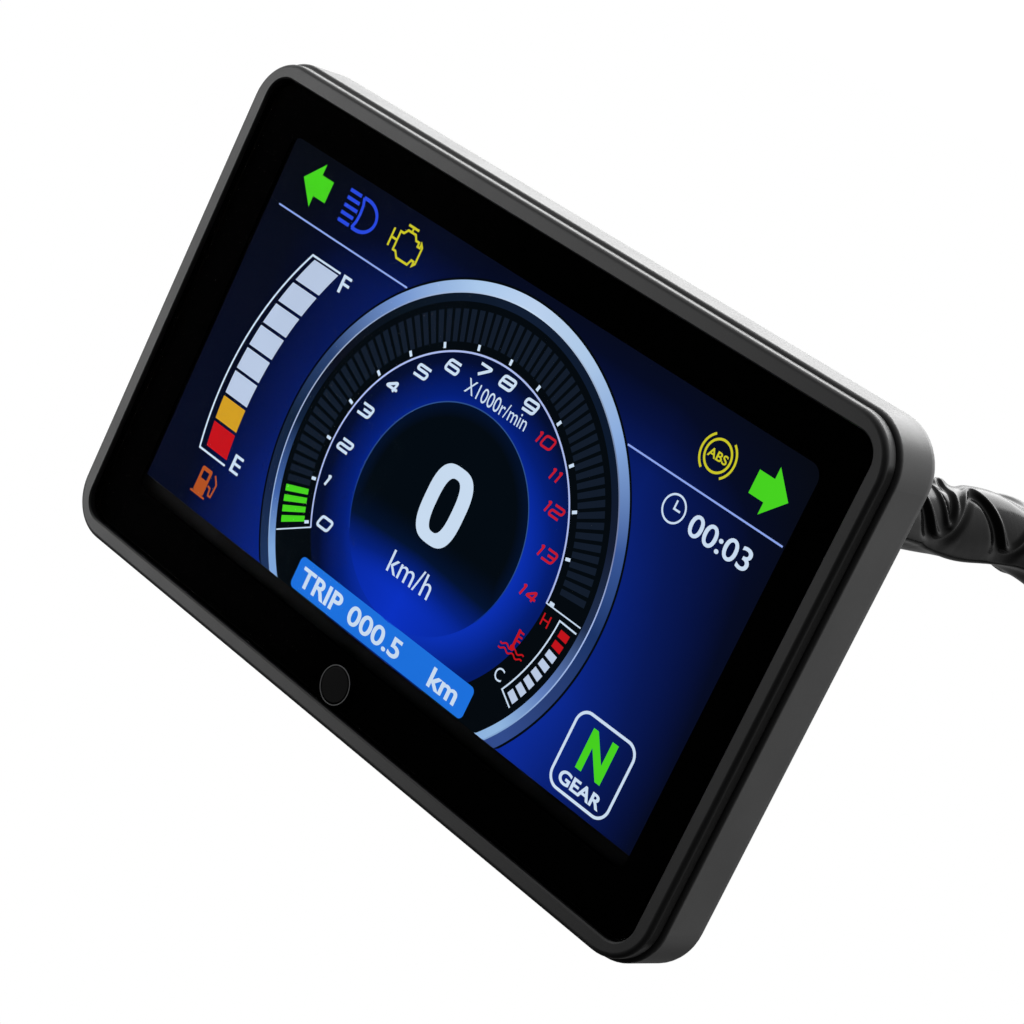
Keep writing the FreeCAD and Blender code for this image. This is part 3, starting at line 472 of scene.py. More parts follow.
def buildSleeve():
    line, s = evenly(routeLine(), sleeve["along"])
    side, up = sweepFrames(line)
    a = np.linspace(0, 2 * math.pi, sleeve["around"], endpoint=False)
    ss, aa = np.meshgrid(s, a, indexing="ij")
    r = sleeveRadius(ss, aa)
    points = (line[:, None] + r[..., None] * (np.cos(aa)[..., None] * side[:, None]
                                              + np.sin(aa)[..., None] * up[:, None])).reshape(-1, 3)
    rows, columns = sleeve["along"], sleeve["around"]
    faces = [f[::-1] for f in gridFaces(rows, columns, closeColumns=True)]
    points = np.vstack([points, line[0], line[-1]])
    first, last = rows * columns, rows * columns + 1
    end = (rows - 1) * columns
    faces += [(first, k, (k + 1) % columns) for k in range(columns)]
    faces += [(last, end + (k + 1) % columns, end + k) for k in range(columns)]
    skin = newPiece("harnessSleeve", points, faces, sleeveFinish(), smooth=True)
    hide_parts("harness_sleeve")


buildSleeve()
print("sleeve swept")


# printed border, just inside the back of the lens
lensLow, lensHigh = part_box("cover_lens")
buttonLow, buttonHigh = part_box("button_cap")
border = {"inset": 0.05 * mm, "cornerRadius": 4.95 * mm, "windowWide": 127.1 * mm, "windowHigh": 68.3 * mm,
          "windowZ": 0.4 * mm, "windowRadius": 2.4 * mm, "depthInGlass": 0.03 * mm, "holeRadius": 3.3 * mm,
          "edgeBare": 0.04 * mm, "edgeInk": 0.03 * mm}
# ground chamfer round the button's hole; the button's centre is its flange's radius above its lowest point
chamfer = {"flange": 3.9 * mm, "radius": 3.20 * mm, "wide": 0.16 * mm, "proud": 0.01 * mm,
           "outerDepth": 0.05 * mm, "innerDepth": 0.16 * mm, "around": 96}
buttonX = (buttonLow.x + buttonHigh.x) / 2
buttonZ = buttonLow.z + chamfer["flange"]


def circle(x, z, radius, steps=64):
    a = np.linspace(0, 2 * math.pi, steps, endpoint=False)
    return np.stack([x + radius * np.cos(a), z + radius * np.sin(a)], -1)


def roundedOutline(halfX, halfZ, radius, centreX=0.0, centreZ=0.0, steps=12):
    # corner arcs joined by straight sides, counter-clockwise as seen from the front
    a = np.linspace(0, math.pi / 2, steps + 1)
    corners = []
    for k, (sx, sz) in enumerate(((1, 1), (-1, 1), (-1, -1), (1, -1))):
        turn = a + k * math.pi / 2
        corners.append(np.stack([centreX + sx * (halfX - radius) + radius * np.cos(turn),
                                 centreZ + sz * (halfZ - radius) + radius * np.sin(turn)], -1))
    return np.vstack(corners)


def flatMesh(name, loops, y):
    # filled flat shape between outlines: the even-odd rule makes inner loops holes
    curve = bpy.data.curves.new(name, "CURVE")
    curve.dimensions = "2D"
    curve.fill_mode = "BOTH"
    for loop in loops:
        spline = curve.splines.new("POLY")
        spline.points.add(len(loop) - 1)
        flat = np.c_[loop, np.zeros(len(loop)), np.ones(len(loop))]
        spline.points.foreach_set("co", flat.astype(np.float32).ravel())
        spline.use_cyclic_u = True
    holder = bpy.data.objects.new(name, curve)
    scene.collection.objects.link(holder)
    mesh = bpy.data.meshes.new_from_object(holder)
    points = np.array([v.co for v in mesh.vertices])
    faces = [tuple(p.vertices) for p in mesh.polygons]
    bpy.data.objects.remove(holder)
    return np.c_[points[:, 0], np.full(len(points), y), points[:, 1]], faces


def facingFront(points, faces):
    # turns each face so that its normal points forwards, along -Y
    kept = []
    for face in faces:
        a, b, c = (np.asarray(points[k]) for k in face[:3])
        kept.append(face if np.cross(b - a, c - a)[1] < 0 else face[::-1])
    return kept


def printFinish():
    material, n, shader = newMaterial("lensPrintInk")
    cloud = n.noise(n.place(), 45.0, 4.0)
    n.put(n.mix(cloud, grey(0.0005), grey(0.0014)), shader.inputs["Base Color"])
    n.put(n.spread(cloud, 0.0, 1.0, 0.35, 0.5), shader.inputs["Roughness"])
    shader.inputs["Specular IOR Level"].default_value = 0.0
    return material


def buildBorder():
    y = lensHigh.y - border["depthInGlass"]
    halfX, halfZ = lensHigh.x - border["inset"], lensHigh.z - border["inset"]
    window = roundedOutline(border["windowWide"] / 2, border["windowHigh"] / 2, border["windowRadius"], 0,
                            border["windowZ"])
    hole = circle(buttonX, buttonZ, border["holeRadius"], 48)
    outline = roundedOutline(halfX, halfZ, border["cornerRadius"])
    points, faces = flatMesh("lensPrint", [outline, window, hole], y)
    ink = printFinish()
    piece = newPiece("lensPrint", points, facingFront(points, faces), ink)
    # the same ink on the ground edge of the glass: the outline carried from front to back
    edge = roundedOutline(*(size + border["edgeInk"] for size in (halfX, halfZ, border["cornerRadius"])))
    places = np.array([lensLow.y + border["edgeBare"], y])
    wall = np.stack([np.broadcast_to(edge[None, :, 0], (2, len(edge))),
                     np.broadcast_to(places[:, None], (2, len(edge))),
                     np.broadcast_to(edge[None, :, 1], (2, len(edge)))], -1).reshape(-1, 3)
    band = newPiece("lensEdgeInk", wall, gridFaces(2, len(edge), closeColumns=True), ink)


def ringProfile(radii, places, steps, centreX, centreZ):
    # closed profile of (radius, y) carried round the button's axis
    a = np.linspace(0, 2 * math.pi, steps, endpoint=False)
    r, y = np.array(radii), np.array(places)
    x = centreX + r[None, :] * np.cos(a)[:, None]
    z = centreZ + r[None, :] * np.sin(a)[:, None]
    points = np.stack([x, np.broadcast_to(y, x.shape), z], -1).reshape(-1, 3)
    count = len(radii)
    quads = [(i * count + j, i * count + (j + 1) % count, ((i + 1) % steps) * count + (j + 1) % count,
              ((i + 1) % steps) * count + j) for i in range(steps) for j in range(count)]
    return points, quads


def buildButtonRing():
    # a thin frosted ring, deeper at the hole; its light grey colour is a painted highlight of the chamfer's
    # rim
    inner, front = chamfer["radius"], lensLow.y - chamfer["proud"]
    outer = inner + chamfer["wide"]
    places = [front, front, lensLow.y + chamfer["outerDepth"], lensLow.y + chamfer["innerDepth"]]
    points, faces = ringProfile([inner, outer, outer, inner], places, chamfer["around"], buttonX, buttonZ)
    # light grey: painted highlight on the chamfer, whose shape and roughness are real
    material = finish("lensHoleRimPaintedHighlight", (0.07, 0.072, 0.075), roughness=0.55, grain=6000, variation=0.5)
    piece = newPiece("lensHoleChamfer", points, [f[::-1] for f in faces], material)


buildBorder()
buildButtonRing()
print("lens print and button ring made")


# picture on the display: flat lit shapes in layers before the panel, in millimetres across and up
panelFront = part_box("display_panel")[0].y
screen = {"left": -63.8, "right": 63.8, "bottom": -31.2, "top": 35.2, "gap": 0.02, "pitch": 0.16 * mm}
dial = {"x": 0.55, "z": -6.7, "ridge": 37.2, "outer": 39.6, "bevelOut": 39.2, "bevelIn": 35.7, "arc": 27.5,
        "barIn": 29.1, "barOut": 34.5, "barHalf": 0.95, "disc": 19.05, "discX": 0.76, "discZ": -6.4,
        "start": 210.2, "end": -0.4, "firstTick": 208.3, "step": 14.85, "count": 14, "perStep": 5, "lit": 4}


def layerY(layer):
    return panelFront - screen["gap"] * mm * (1 + layer)


def lcdGroup():
    # rows and columns of liquid-crystal cells as two faint waves, over a slow cloud
    tree = bpy.data.node_groups.new("displayCells", "ShaderNodeTree")
    tree.interface.new_socket("Colour", in_out="INPUT", socket_type="NodeSocketColor")
    depth = tree.interface.new_socket("Depth", in_out="INPUT", socket_type="NodeSocketFloat")
    depth.default_value = 0.12
    tree.interface.new_socket("Colour", in_out="OUTPUT", socket_type="NodeSocketColor")
    n = Node(tree)
    given = n.add("NodeGroupInput").outputs
    place = n.place()
    xyz = n.add("ShaderNodeSeparateXYZ", Vector=place)
    turns = 2 * math.pi / screen["pitch"]
    row = n.math("SINE", n.math("MULTIPLY", xyz.outputs["Z"], turns))
    column = n.math("SINE", n.math("MULTIPLY", xyz.outputs["X"], turns))
    wave = n.math("MULTIPLY", n.math("ADD", row, column), 0.25)
    gain = n.math("ADD", 1.0, n.math("MULTIPLY", wave, given["Depth"]))
    gain = n.math("MULTIPLY", gain, n.spread(n.noise(place, 70.0), 0.0, 1.0, 0.94, 1.06))
    colour = n.add("ShaderNodeVectorMath", {"operation": "SCALE"}, i0=given["Colour"], Scale=gain).outputs[0]
    n.put(colour, n.add("NodeGroupOutput").inputs["Colour"])
    return tree


displayCells = lcdGroup()


def litMaterial(name, colour):
    material, n, shader = newMaterial(name)
    group = n.add("ShaderNodeGroup", {"node_tree": displayCells})
    n.put((*colour, 1) if isinstance(colour, tuple) else colour(n), group.inputs["Colour"])
    n.put(group.outputs["Colour"], shader.inputs["Emission Color"])
    shader.inputs["Emission Strength"].default_value = 1.0
    shader.inputs["Base Color"].default_value = grey(0.0)
    shader.inputs["Roughness"].default_value = 0.5
    shader.inputs["Specular IOR Level"].default_value = 0.0
    return material


def offsets(n, centreX, centreZ):
    # distances across and up from a centre, in millimetres
    xyz = n.add("ShaderNodeSeparateXYZ", Vector=n.place())
    return (n.math("SUBTRACT", n.math("MULTIPLY", xyz.outputs["X"], 1 / mm), centreX),
            n.math("SUBTRACT", n.math("MULTIPLY", xyz.outputs["Z"], 1 / mm), centreZ))


def distance(n, dx, dz):
    return n.math("SQRT", n.math("ADD", n.math("MULTIPLY", dx, dx), n.math("MULTIPLY", dz, dz)))


def tone(red, green, blue):
    # a display colour from 0 to 255 as the linear value that a shader takes
    c = np.array([red, green, blue]) / 255
    return tuple(float(v) for v in np.where(c < 0.04, c / 12.92, ((c + 0.055) / 1.055) ** 2.4))


def backdropColour(n):
    # deep blue, brightest beside the foot of the dial, dying away towards the sides and the top
    dx, dz = offsets(n, dial["x"], dial["z"])
    wide = n.spread(n.math("ABSOLUTE", n.math("SUBTRACT", dx, 4.0)), 30.0, 60.0, 1.0, 0.14)
    shares = [(0.0, 0.93), (0.18, 1.0), (0.47, 0.83), (0.76, 0.58), (0.86, 0.32), (1.0, 0.1)]
    high = n.ramp(n.spread(dz, -24.5, 42.0), [(place, (share,) * 3) for place, share in shares])
    return n.ramp(n.math("MULTIPLY", wide, high),
                  [(0.0, tone(8, 11, 16)), (0.2, tone(6, 12, 36)), (0.5, tone(8, 24, 86)),
                   (0.75, tone(10, 34, 122)), (1.0, tone(13, 44, 156))])


def innerFaceColour(n):
    # blue glow that falls off from the disc's edge to the scale, stronger to the lower right
    dx, dz = offsets(n, dial["discX"], dial["discZ"])
    glow = n.spread(distance(n, dx, dz), 19.4, 26.6, 0.6, 0.2)
    slope = n.math("SUBTRACT", n.math("MULTIPLY", dx, 0.75), n.math("MULTIPLY", dz, 0.65))
    lean = n.spread(slope, -10.0, 20.0, shape="SMOOTHSTEP")
    return n.ramp(n.math("ADD", glow, n.math("MULTIPLY", lean, 0.27)),
                  [(0.0, tone(4, 9, 18)), (0.25, tone(5, 15, 50)), (0.55, tone(5, 30, 116)),
                   (0.85, tone(11, 47, 175)), (1.0, tone(12, 52, 195))])


def discColour(n):
    # near-black disc that melts into blue at its foot
    dx, dz = offsets(n, dial["discX"], dial["discZ"])
    fade = n.spread(dz, -1.5, -15.0, shape="SMOOTHSTEP")
    side = n.spread(n.math("ABSOLUTE", dx), 0.0, 19.0, 1.0, 0.72)
    edge = n.spread(distance(n, dx, dz), 16.5, 19.0, 0.0, 0.24)
    level = n.math("MAXIMUM", n.math("MULTIPLY", fade, side), edge)
    return n.ramp(level, [(0.0, tone(4, 11, 18)), (0.3, tone(4, 19, 48)), (0.65, tone(6, 33, 125)),
                          (1.0, tone(11, 49, 192))])


def discRimColour(n):
    fade = n.spread(offsets(n, dial["discX"], dial["discZ"])[1], -15.0, 2.0)
    return n.ramp(fade, [(0.0, tone(8, 40, 150)), (0.5, tone(16, 52, 140)), (1.0, tone(44, 78, 138))])


# how each bevel of the rim shines, at directions from the left round through the foot, right and top
rimShine = {
    "outer": [(0, (20, 36, 60)), (20, (22, 37, 70)), (35, (29, 50, 87)), (145, (50, 75, 139)),
              (160, (41, 62, 116)), (180, (28, 52, 103)), (200, (56, 86, 150)), (225, (131, 165, 217)),
              (250, (174, 201, 232)), (270, (186, 208, 237)), (290, (170, 200, 235)), (315, (114, 147, 205)),
              (340, (42, 66, 112)), (360, (20, 36, 60))],
    "inner": [(0, (18, 34, 60)), (20, (64, 98, 165)), (35, (126, 165, 216)), (145, (143, 180, 222)),
              (160, (95, 125, 187)), (180, (33, 48, 80)), (200, (20, 28, 48)), (225, (12, 24, 43)),
              (270, (17, 29, 50)), (315, (10, 20, 30)), (340, (12, 15, 27)), (360, (18, 34, 60))],
    "ridge": [(0, (162, 181, 221)), (35, (134, 168, 213)), (145, (128, 162, 206)), (180, (170, 192, 240)),
              (200, (113, 123, 162)), (225, (110, 130, 165)), (270, (197, 218, 243)), (315, (133, 156, 201)),
              (340, (154, 170, 197)), (360, (162, 181, 221))]}


def ringColour(part):
    def colour(n):
        # direction from 0 to 1, anticlockwise from the left
        dx, dz = offsets(n, dial["x"], dial["z"])
        turn = n.math("ADD", n.math("DIVIDE", n.math("ARCTAN2", dz, dx), 2 * math.pi), 0.5)
        return n.ramp(turn, [(angle / 360, tone(*shine)) for angle, shine in rimShine[part]])
    return colour


def arcBand(inner, outer, start, end, centreX, centreZ, steps=160):
    # flat band between two radii: a grid of angle by radius, angles in degrees anticlockwise from the right
    a = np.radians(np.linspace(start, end, steps))
    r = np.array([inner, outer])
    x = centreX + r[None, :] * np.cos(a)[:, None]
    z = centreZ + r[None, :] * np.sin(a)[:, None]
    return np.stack([x, z], -1).reshape(-1, 2), gridFaces(steps, 2)


def strip(points, width, closed=False):
    # flat line of even width: each point moves half the width each way along the mitre
    p = np.asarray(points, float)
    ahead = np.roll(p, -1, 0) - p
    behind = p - np.roll(p, 1, 0)
    if not closed:
        ahead[-1], behind[0] = behind[-1], ahead[0]
    ahead /= np.linalg.norm(ahead, axis=1)[:, None]
    behind /= np.linalg.norm(behind, axis=1)[:, None]
    na = np.stack([-ahead[:, 1], ahead[:, 0]], -1)
    nb = np.stack([-behind[:, 1], behind[:, 0]], -1)
    mitre = na + nb
    mitre /= np.linalg.norm(mitre, axis=1)[:, None]
    reach = width / 2 / np.clip((mitre * na).sum(1), 0.4, 1)
    both = np.stack([p - mitre * reach[:, None], p + mitre * reach[:, None]], 1)
    if closed:
        both = np.concatenate([both, both[:1]])
    return both.reshape(-1, 2), gridFaces(len(both), 2)


def art(name, parts, layer, material):
    # joins flat shapes, each (points, faces) in millimetres, into one piece on its own layer,
    # and keeps it inside the lit area
    points, faces, start = [], [], 0
    for p, f in parts:
        points.append(np.asarray(p, float))
        faces += [tuple(k + start for k in face) for face in f]
        start += len(p)
    flat = np.clip(np.vstack(points), (screen["left"], screen["bottom"]), (screen["right"], screen["top"]))
    placed = np.stack([flat[:, 0] * mm, np.full(len(flat), layerY(layer)), flat[:, 1] * mm], -1)
    piece = newPiece(name, placed, facingFront(placed, faces), material)


def polygon(points):
    return [tuple(p) for p in points], [tuple(range(len(points)))]


def rectangle(x0, z0, x1, z1):
    return polygon([(x0, z0), (x1, z0), (x1, z1), (x0, z1)])


def roundedShape(x0, z0, x1, z1, radius):
    return roundedOutline((x1 - x0) / 2, (z1 - z0) / 2, radius, (x0 + x1) / 2, (z0 + z1) / 2)


def ray(angle):
    # unit direction, in degrees anticlockwise from the right
    a = math.radians(angle)
    return np.array([math.cos(a), math.sin(a)])


def lettering(text, x, z, high, wide, bold=0.0):
    # letters as a flat mesh, scaled to a height and a width and centred on a point
    curve = bpy.data.curves.new("letters", "FONT")
    curve.body = text
    curve.offset = bold
    curve.resolution_u = 6
    holder = bpy.data.objects.new("letters", curve)
    scene.collection.objects.link(holder)
    mesh = bpy.data.meshes.new_from_object(holder)
    points = np.array([v.co for v in mesh.vertices])[:, :2]
    faces = [tuple(p.vertices) for p in mesh.polygons]
    bpy.data.objects.remove(holder)
    low, top = points.min(0), points.max(0)
    scale = np.array([wide, high]) / (top - low)
    return (x, z) + (points - (low + top) / 2) * scale, faces


white = litMaterial("litWhite", tone(200, 219, 240))
green = litMaterial("litGreen", tone(70, 208, 32))
red = litMaterial("litRed", tone(190, 20, 28))
amber = litMaterial("litAmber", tone(205, 155, 36))
yellow = litMaterial("litYellow", tone(200, 196, 40))
blue = litMaterial("litBlue", tone(40, 72, 220))
orange = litMaterial("litOrange", tone(176, 82, 36))
paleBlue = litMaterial("litPaleBlue", tone(140, 165, 235))
barBlue = litMaterial("litBarBlue", tone(29, 112, 220))
cellWhite = litMaterial("litCellWhite", tone(184, 200, 226))
dimSlate = litMaterial("litDimSlate", tone(19, 28, 42))


def buildBackdrop():
    # a fine grid, so that the tone can follow the surface
    across, up = 65, 35
    x = np.linspace(screen["left"], screen["right"], across)
    z = np.linspace(screen["bottom"], screen["top"], up)
    grid = np.stack(np.meshgrid(x, z, indexing="ij"), -1).reshape(-1, 2)
    art("displayBackdrop", [(grid, gridFaces(across, up))], 0, litMaterial("litBackdrop", backdropColour))


def belowCut(inner, outer, steps):
    # full ring of the dial without the faces that lie under the lit area
    points, faces = arcBand(inner, outer, -90, 270, dial["x"], dial["z"], steps)
    return points, [f for f in faces if points[list(f), 1].max() > screen["bottom"]]


def buildDial():
    x, z, arc, ridge = dial["x"], dial["z"], dial["arc"], dial["ridge"]
    centre = np.array([x, z])
    art("dialShadow", [belowCut(0.01, dial["outer"], 240)], 1, litMaterial("litDialShadow", tone(5, 10, 15)))
    rims = (("Outer", ridge, dial["bevelOut"], 2), ("Inner", dial["bevelIn"], ridge, 2),
            ("Ridge", ridge - 0.12, ridge + 0.12, 3))
    for name, inner, outer, layer in rims:
        art("dialRim" + name, [belowCut(inner, outer, 360)], layer,
            litMaterial("litRim" + name, ringColour(name.lower())))
    a = np.radians(np.linspace(-63, 243, 160))
    art("dialFace", [polygon(centre + arc * np.stack([np.cos(a), np.sin(a)], -1))], 2,
        litMaterial("litDialFace", innerFaceColour))
    step, half = dial["step"] / dial["perStep"], dial["barHalf"]
    first = dial["start"] - step
    bars = [arcBand(dial["barIn"], dial["barOut"], first - step * k - half, first - step * k + half, x, z, 3)
            for k in range(dial["count"] * dial["perStep"] - 1)]
    art("dialBars", bars[dial["lit"]:], 3, dimSlate)
    art("dialLitBars", bars[:dial["lit"]], 3, green)
    art("dialScaleArc", [arcBand(arc - 0.16, arc + 0.16, dial["start"], dial["end"], x, z)], 4,
        litMaterial("litScaleArc", tone(170, 185, 235)))
    art("dialScaleEnds", [strip([centre + way * (arc - 0.1), centre + way * 35.5], 0.22)
                          for way in (ray(dial["start"]), ray(dial["end"]))], 4, white)
    ways = [ray(dial["firstTick"] - dial["step"] * k) for k in range(dial["count"] + 1)]
    ticks = [strip([centre + way * (arc + 0.55), centre + way * (arc + 1.55)], 0.55) for way in ways]
    art("dialTicks", ticks, 4, white)
    discX, discZ, disc = dial["discX"], dial["discZ"], dial["disc"]
    art("speedDisc", [polygon(circle(discX, discZ, disc, 128))], 4, litMaterial("litSpeedDisc", discColour))
    art("speedDiscRim", [arcBand(disc - 0.07, disc + 0.13, -32, 212, discX, discZ)], 5,
        litMaterial("litSpeedDiscRim", discRimColour))


# where each number of the scale stands, and how its digits are drawn; one and pair are shares of the width
numberPlaces = [(-20.67, -18.53), (-24.36, -12.19), (-23.84, -5.54), (-22.99, 1.53), (-19.82, 7.65),
                (-15.29, 12.4), (-9.69, 15.99), (-3.57, 18.21), (2.03, 18.74), (8.25, 17.68), (13.95, 14.41),
                (18.6, 10.71), (21.45, 5.96), (23.98, -0.48), (24.19, -7.34)]
number = {"high": 1.85, "wide": 2.75, "gap": 0.95, "slant": 0.33, "one": 0.16, "pair": 0.82, "corner": 0.55}

# square-shouldered digits as pen strokes in a unit box; True closes a stroke
digitStrokes = {
    "0": [([(0, 0), (1, 0), (1, 1), (0, 1)], True)],
    "1": [([(0.0, 0.86), (0.16, 1), (0.16, 0)], False)],
    "2": [([(0, 1), (1, 1), (1, 0.5), (0, 0.5), (0, 0), (1, 0)], False)],
    "3": [([(0, 1), (1, 1), (1, 0), (0, 0)], False), ([(0.3, 0.5), (1, 0.5)], False)],
    "4": [([(1, 0.28), (0, 0.28), (0.72, 1), (0.72, 0)], False)],
    "5": [([(1, 1), (0, 1), (0, 0.57), (1, 0.57), (1, 0), (0, 0)], False)],
    "6": [([(0.9, 1), (0, 1), (0, 0), (1, 0), (1, 0.55), (0.1, 0.55)], False)],
    "7": [([(0, 1), (1, 1), (0.3, 0)], False)],
    "8": [([(0, 0), (1, 0), (1, 1), (0, 1)], True), ([(0, 0.52), (1, 0.52)], False)],
    "9": [([(1, 0.45), (0, 0.45), (0, 1), (1, 1), (1, 0), (0.1, 0)], False)]}


def softened(points, radius, closed):
    # each corner becomes a short arc: points on the two sides joined by a quadratic curve
    p = [np.array(q, float) for q in points]
    out = []
    for k, q in enumerate(p):
        if not closed and k in (0, len(p) - 1):
            out.append(q)
            continue
        before, after = p[k - 1] - q, p[(k + 1) % len(p)] - q
        reach = min(radius, np.linalg.norm(before) * 0.45, np.linalg.norm(after) * 0.45)
        a = q + before / np.linalg.norm(before) * reach
        b = q + after / np.linalg.norm(after) * reach
        for t in np.linspace(0, 1, 6):
            out.append((1 - t) ** 2 * a + 2 * t * (1 - t) * q + t * t * b)
    return np.array(out)


def dialNumber(k, x, z, pen=0.5):
    # digits side by side, each leaning to the right, centred on a point
    text, gap = str(k), number["gap"]
    share = 1.0 if len(text) == 1 else number["pair"]
    widths = [number["wide"] * (number["one"] if c == "1" else share) for c in text]
    left = -(sum(widths) + gap * (len(text) - 1)) / 2
    shapes = []
    for c, w in zip(text, widths):
        scale = (w / number["one"] if c == "1" else w, number["high"])
        for points, closed in digitStrokes[c]:
            p = np.array(points, float) * scale + (left, -number["high"] / 2)
            p = softened(p, number["corner"], closed)
            p[:, 0] += p[:, 1] * number["slant"]
            shapes.append(strip(p + (x, z), pen, closed))
        left += w + gap
    return shapes


def superOval(x, z, halfX, halfZ, power, steps=72):
    # oval with fuller shoulders: |x/a|^p + |z/b|^p = 1
    a = np.linspace(0, 2 * math.pi, steps, endpoint=False)
    c, s = np.cos(a), np.sin(a)
    return np.stack([x + halfX * np.sign(c) * np.abs(c) ** (2 / power),
                     z + halfZ * np.sign(s) * np.abs(s) ** (2 / power)], -1)


def filled(loops):
    points, faces = flatMesh("flatShape", loops, 0)
    return points[:, [0, 2]], faces


def buildNumbers():
    places = list(enumerate(numberPlaces))
    art("dialNumbersWhite", [shape for k, place in places[:10] for shape in dialNumber(k, *place)], 5, white)
    art("dialNumbersRed", [shape for k, place in places[10:] for shape in dialNumber(k, *place, pen=0.4)], 5,
        litMaterial("litNumberRed", tone(190, 26, 44)))
    art("dialUnits", [lettering("X1000r/min", 1.8, 14.9, 2.5, 14.8)], 6, white)
    digit = [superOval(1.08, -3.85, 4.75, 6.85, 2.9), superOval(1.08, -3.85, 1.9, 4.75, 2.7)]
    art("speedDigit", [filled(digit)], 6, white)
    art("speedUnits", [lettering("km/h", 0.86, -16.6, 3.9, 10.5)], 6, white)


def buildTrip():
    art("tripBar", [polygon(roundedShape(-22.15, -30.98, 22.93, -25.28, 1.0))], 4, barBlue)
    art("tripText", [lettering("TRIP", -15.2, -28.25, 3.4, 10.8, bold=0.025),
                     lettering("000.5", -0.95, -28.25, 3.4, 13.5, bold=0.02),
                     lettering("km", 16.9, -28.2, 3.4, 6.8, bold=0.025)], 5, white)


def arrow(tipX, tipZ, way):
    # block arrow: way is -1 for left, 1 for right
    head, shaft, tail = 3.95, 1.95, 7.1
    outline = [(0, 0), (-head, head), (-head, shaft), (-tail, shaft), (-tail, -shaft), (-head, -shaft),
               (-head, -head)]
    return polygon([(tipX + way * px, tipZ + pz) for px, pz in outline])


def buildTopRow():
    art("arrowLeft", [arrow(-58.5, 28.95, -1)], 2, green)
    art("arrowRight", [arrow(59.75, 27.2, 1)], 2, green)
    # high beam: five rays and a lamp with a thick back
    pen = 0.62
    beams = [strip([(-47.1, 31.5 - 1.35 * k), (-43.6 - 0.25 * abs(2 - k), 31.5 - 1.35 * k)], pen)
             for k in range(5)]
    a = np.radians(np.linspace(90, -90, 24))
    bowl = np.stack([-42.3 + 3.6 * np.cos(a), 28.8 + 2.75 * np.sin(a)], -1)
    top, foot = (-43.4, 31.55), (-43.4, 26.05)
    beams.append(strip(np.vstack([[top], bowl, [foot]]), pen))
    beams.append(strip([top, (-42.9, 30.3), (-42.75, 28.8), (-42.9, 27.3), foot], pen))
    art("highBeamIcon", beams, 2, blue)
    block = [(-32.7, 30.1), (-31.9, 30.1), (-31.2, 30.9), (-29.3, 30.9), (-28.7, 30.1), (-27.9, 30.1),
             (-27.9, 29.4), (-27.3, 29.4), (-27.3, 30.1), (-26.8, 29.6), (-26.8, 26.7), (-27.3, 26.2),
             (-27.3, 26.9), (-27.9, 26.9), (-28.4, 25.9), (-31.2, 25.9), (-32.0, 26.8), (-32.7, 26.8)]
    engine = [strip(block, 0.4, closed=True), strip([(-34.2, 30.1), (-34.2, 26.9)], 0.42),
              strip([(-34.2, 28.5), (-32.7, 28.5)], 0.4), strip([(-30.3, 30.9), (-30.3, 31.7)], 0.4),
              strip([(-31.6, 31.75), (-29.0, 31.75)], 0.42)]
    art("engineIcon", engine, 2, yellow)
    x, z = 44.8, 27.4
    brakes = [arcBand(2.35, 2.75, 0, 360, x, z, 64), arcBand(3.25, 3.65, 125, 235, x, z, 40),
              arcBand(3.25, 3.65, -55, 55, x, z, 40), lettering("ABS", x, z, 1.5, 4.0, bold=0.02)]
    art("brakeIcon", brakes, 2, yellow)
    lines = [rectangle(-61.3, 22.5, -26.2, 22.8), rectangle(28.7, 21.12, 62.3, 21.42)]
    art("headerLines", lines, 1, paleBlue)


def buildClock():
    x, z = 41.85, 16.95
    face = [arcBand(2.05, 2.38, 0, 360, x, z, 64), strip([(x, z + 1.4), (x, z), (x + 1.3, z)], 0.34)]
    art("clockIcon", face, 2, white)
    art("clockDigits", [lettering("00:03", 52.05, 16.55, 3.6, 12.9, bold=0.012)], 2, white)


def onArc(centre, radius, z):
    # point of a circle, left of its centre, at a given height
    return centre[0] - math.sqrt(radius ** 2 - (z - centre[1]) ** 2)


# fuel gauge: centre and radius of each curved edge, and the heights of the cells
fuel = {"outline": ((-0.05, -8.96), 55.96), "left": ((3.26, -8.55), 57.72), "right": ((14.12, -10.31), 62.37),
        "tops": [17.9, 12.55, 7.8, 3.15, -1.5, -6.15, -11.0, -15.75],
        "bottoms": [13.15, 8.4, 3.75, -0.9, -5.6, -10.4, -15.2, -20.2], "top": 18.4, "foot": -21.2}


def fuelCell(k):
    heights = np.linspace(fuel["tops"][k], fuel["bottoms"][k], 5)
    left = [(onArc(*fuel["left"], z), z) for z in heights]
    right = [(onArc(*fuel["right"], z), z) for z in heights[::-1]]
    return polygon(left + right)


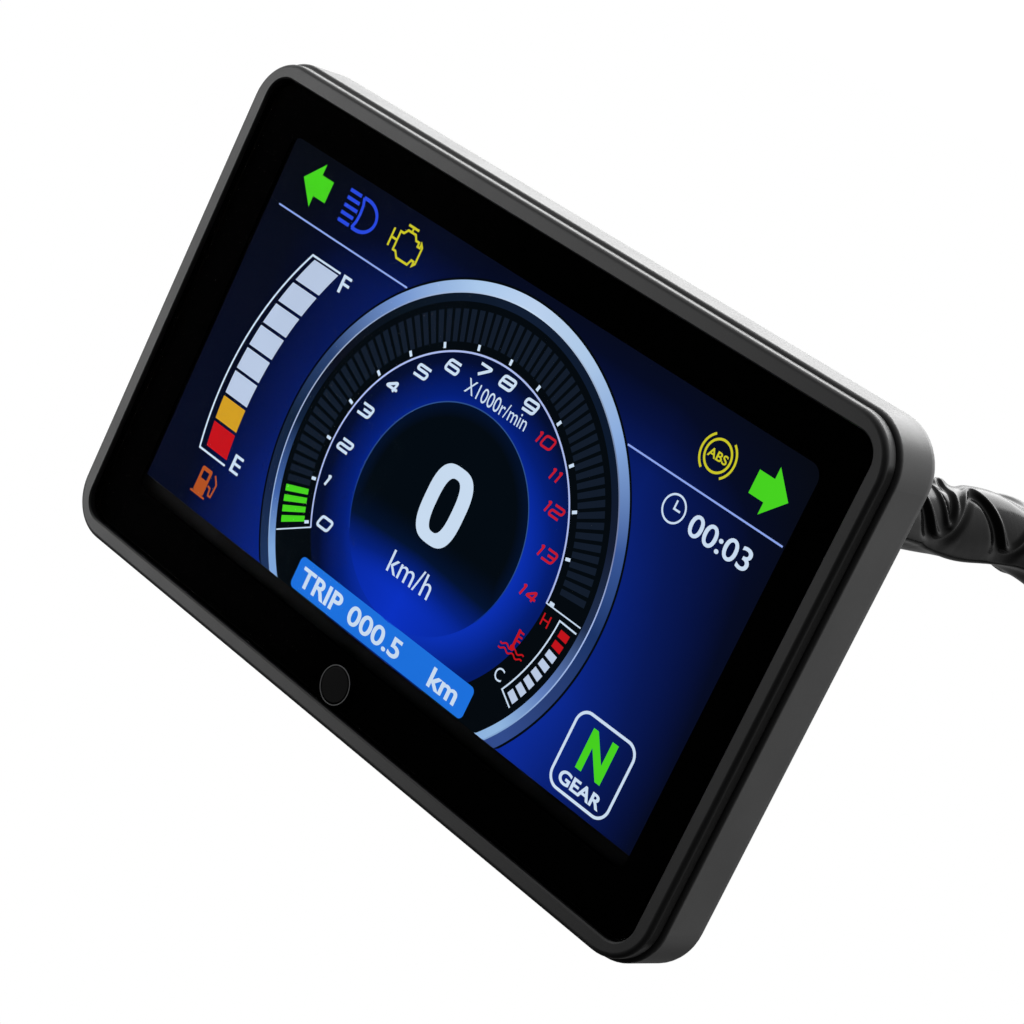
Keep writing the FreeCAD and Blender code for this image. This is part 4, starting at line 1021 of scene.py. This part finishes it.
def buildFuel():
    top, foot = fuel["top"], fuel["foot"]
    line = [(onArc(*fuel["outline"], z), z) for z in np.linspace(top, foot, 40)]
    line = [(-41.2, top), *line, (-47.3, foot)]
    art("fuelOutline", [strip(line, 0.36)], 2, white)
    art("fuelCells", [fuelCell(k) for k in range(6)], 2, cellWhite)
    art("fuelCellAmber", [fuelCell(6)], 2, amber)
    art("fuelCellRed", [fuelCell(7)], 2, red)
    letters = [lettering("F", -39.2, 17.1, 3.2, 2.2, bold=0.01),
               lettering("E", -44.8, -19.8, 3.2, 2.4, bold=0.01)]
    art("fuelLetters", letters, 2, white)
    x, z = -50.3, -25.8
    body = roundedShape(x - 1.7, z - 2.4, x + 1.1, z + 2.4, 0.4)
    window = roundedShape(x - 1.1, z + 0.3, x + 0.5, z + 1.7, 0.15)
    hose = np.array([(1.3, -0.2), (2.0, -0.4), (2.2, -1.6), (2.9, -1.6), (3.1, 0.8), (2.0, 2.1)]) + (x, z)
    pump = [filled([body, window]), strip(hose, 0.36), rectangle(x - 2.3, z - 2.75, x + 1.7, z - 2.4)]
    art("fuelPumpIcon", pump, 2, orange)


coolant = {"first": -5.1, "step": 3.28, "half": 1.12, "inner": 32.4, "outer": 34.5, "line": 31.35,
           "start": -2.3, "end": -30.4}


def buildCoolant():
    x, z = dial["x"], dial["z"]
    middles = [coolant["first"] - coolant["step"] * k for k in range(8)]
    cells = [arcBand(coolant["inner"], coolant["outer"], middle - coolant["half"], middle + coolant["half"],
                     x, z, 3) for middle in middles]
    art("coolantCellsRed", cells[:2], 4, red)
    art("coolantCells", cells[2:], 4, cellWhite)
    start, end = coolant["start"], coolant["end"]
    line = [ray(angle) * coolant["line"] for angle in np.linspace(start, end, 30)]
    line = np.array([ray(start) * 35.3, *line, ray(end) * 34.7]) + (x, z)
    art("coolantOutline", [strip(line, 0.28)], 4, white)
    art("coolantHot", [lettering("H", 29.4, -9.3, 2.0, 1.7)], 4, red)
    art("coolantCold", [lettering("C", 25.8, -20.9, 2.2, 1.8)], 4, white)
    cx, cz = 25.9, -15.2
    stem = [strip([(cx - 0.1, cz + 2.3), (cx - 0.1, cz - 0.9)], 0.5)]
    stem += [strip([(cx, cz + 2.0 - 0.75 * k), (cx + 0.95, cz + 2.0 - 0.75 * k)], 0.3) for k in range(3)]
    stem.append(polygon(circle(cx - 0.1, cz - 0.9, 0.5, 20)))
    t = np.linspace(-2.7, 2.7, 40)
    for level in (-1.1, -1.9):
        stem.append(strip(np.stack([cx + t, cz + level + 0.22 * np.sin(t * 3.3)], -1), 0.26))
    art("coolantIcon", stem, 4, red)


def buildGear():
    outline = roundedShape(42.9, -29.9, 55.75, -16.9, 2.3)
    art("gearBox", [strip(outline, 0.5, closed=True)], 2, white)
    art("gearLetter", [lettering("N", 49.4, -21.9, 6.9, 5.6, bold=0.04)], 2, green)
    art("gearWord", [lettering("GEAR", 49.3, -27.75, 2.3, 9.4, bold=0.03)], 2, white)


buildBackdrop()
buildDial()
buildNumbers()
buildTrip()
buildTopRow()
buildClock()
buildFuel()
buildCoolant()
buildGear()
print("display picture drawn")
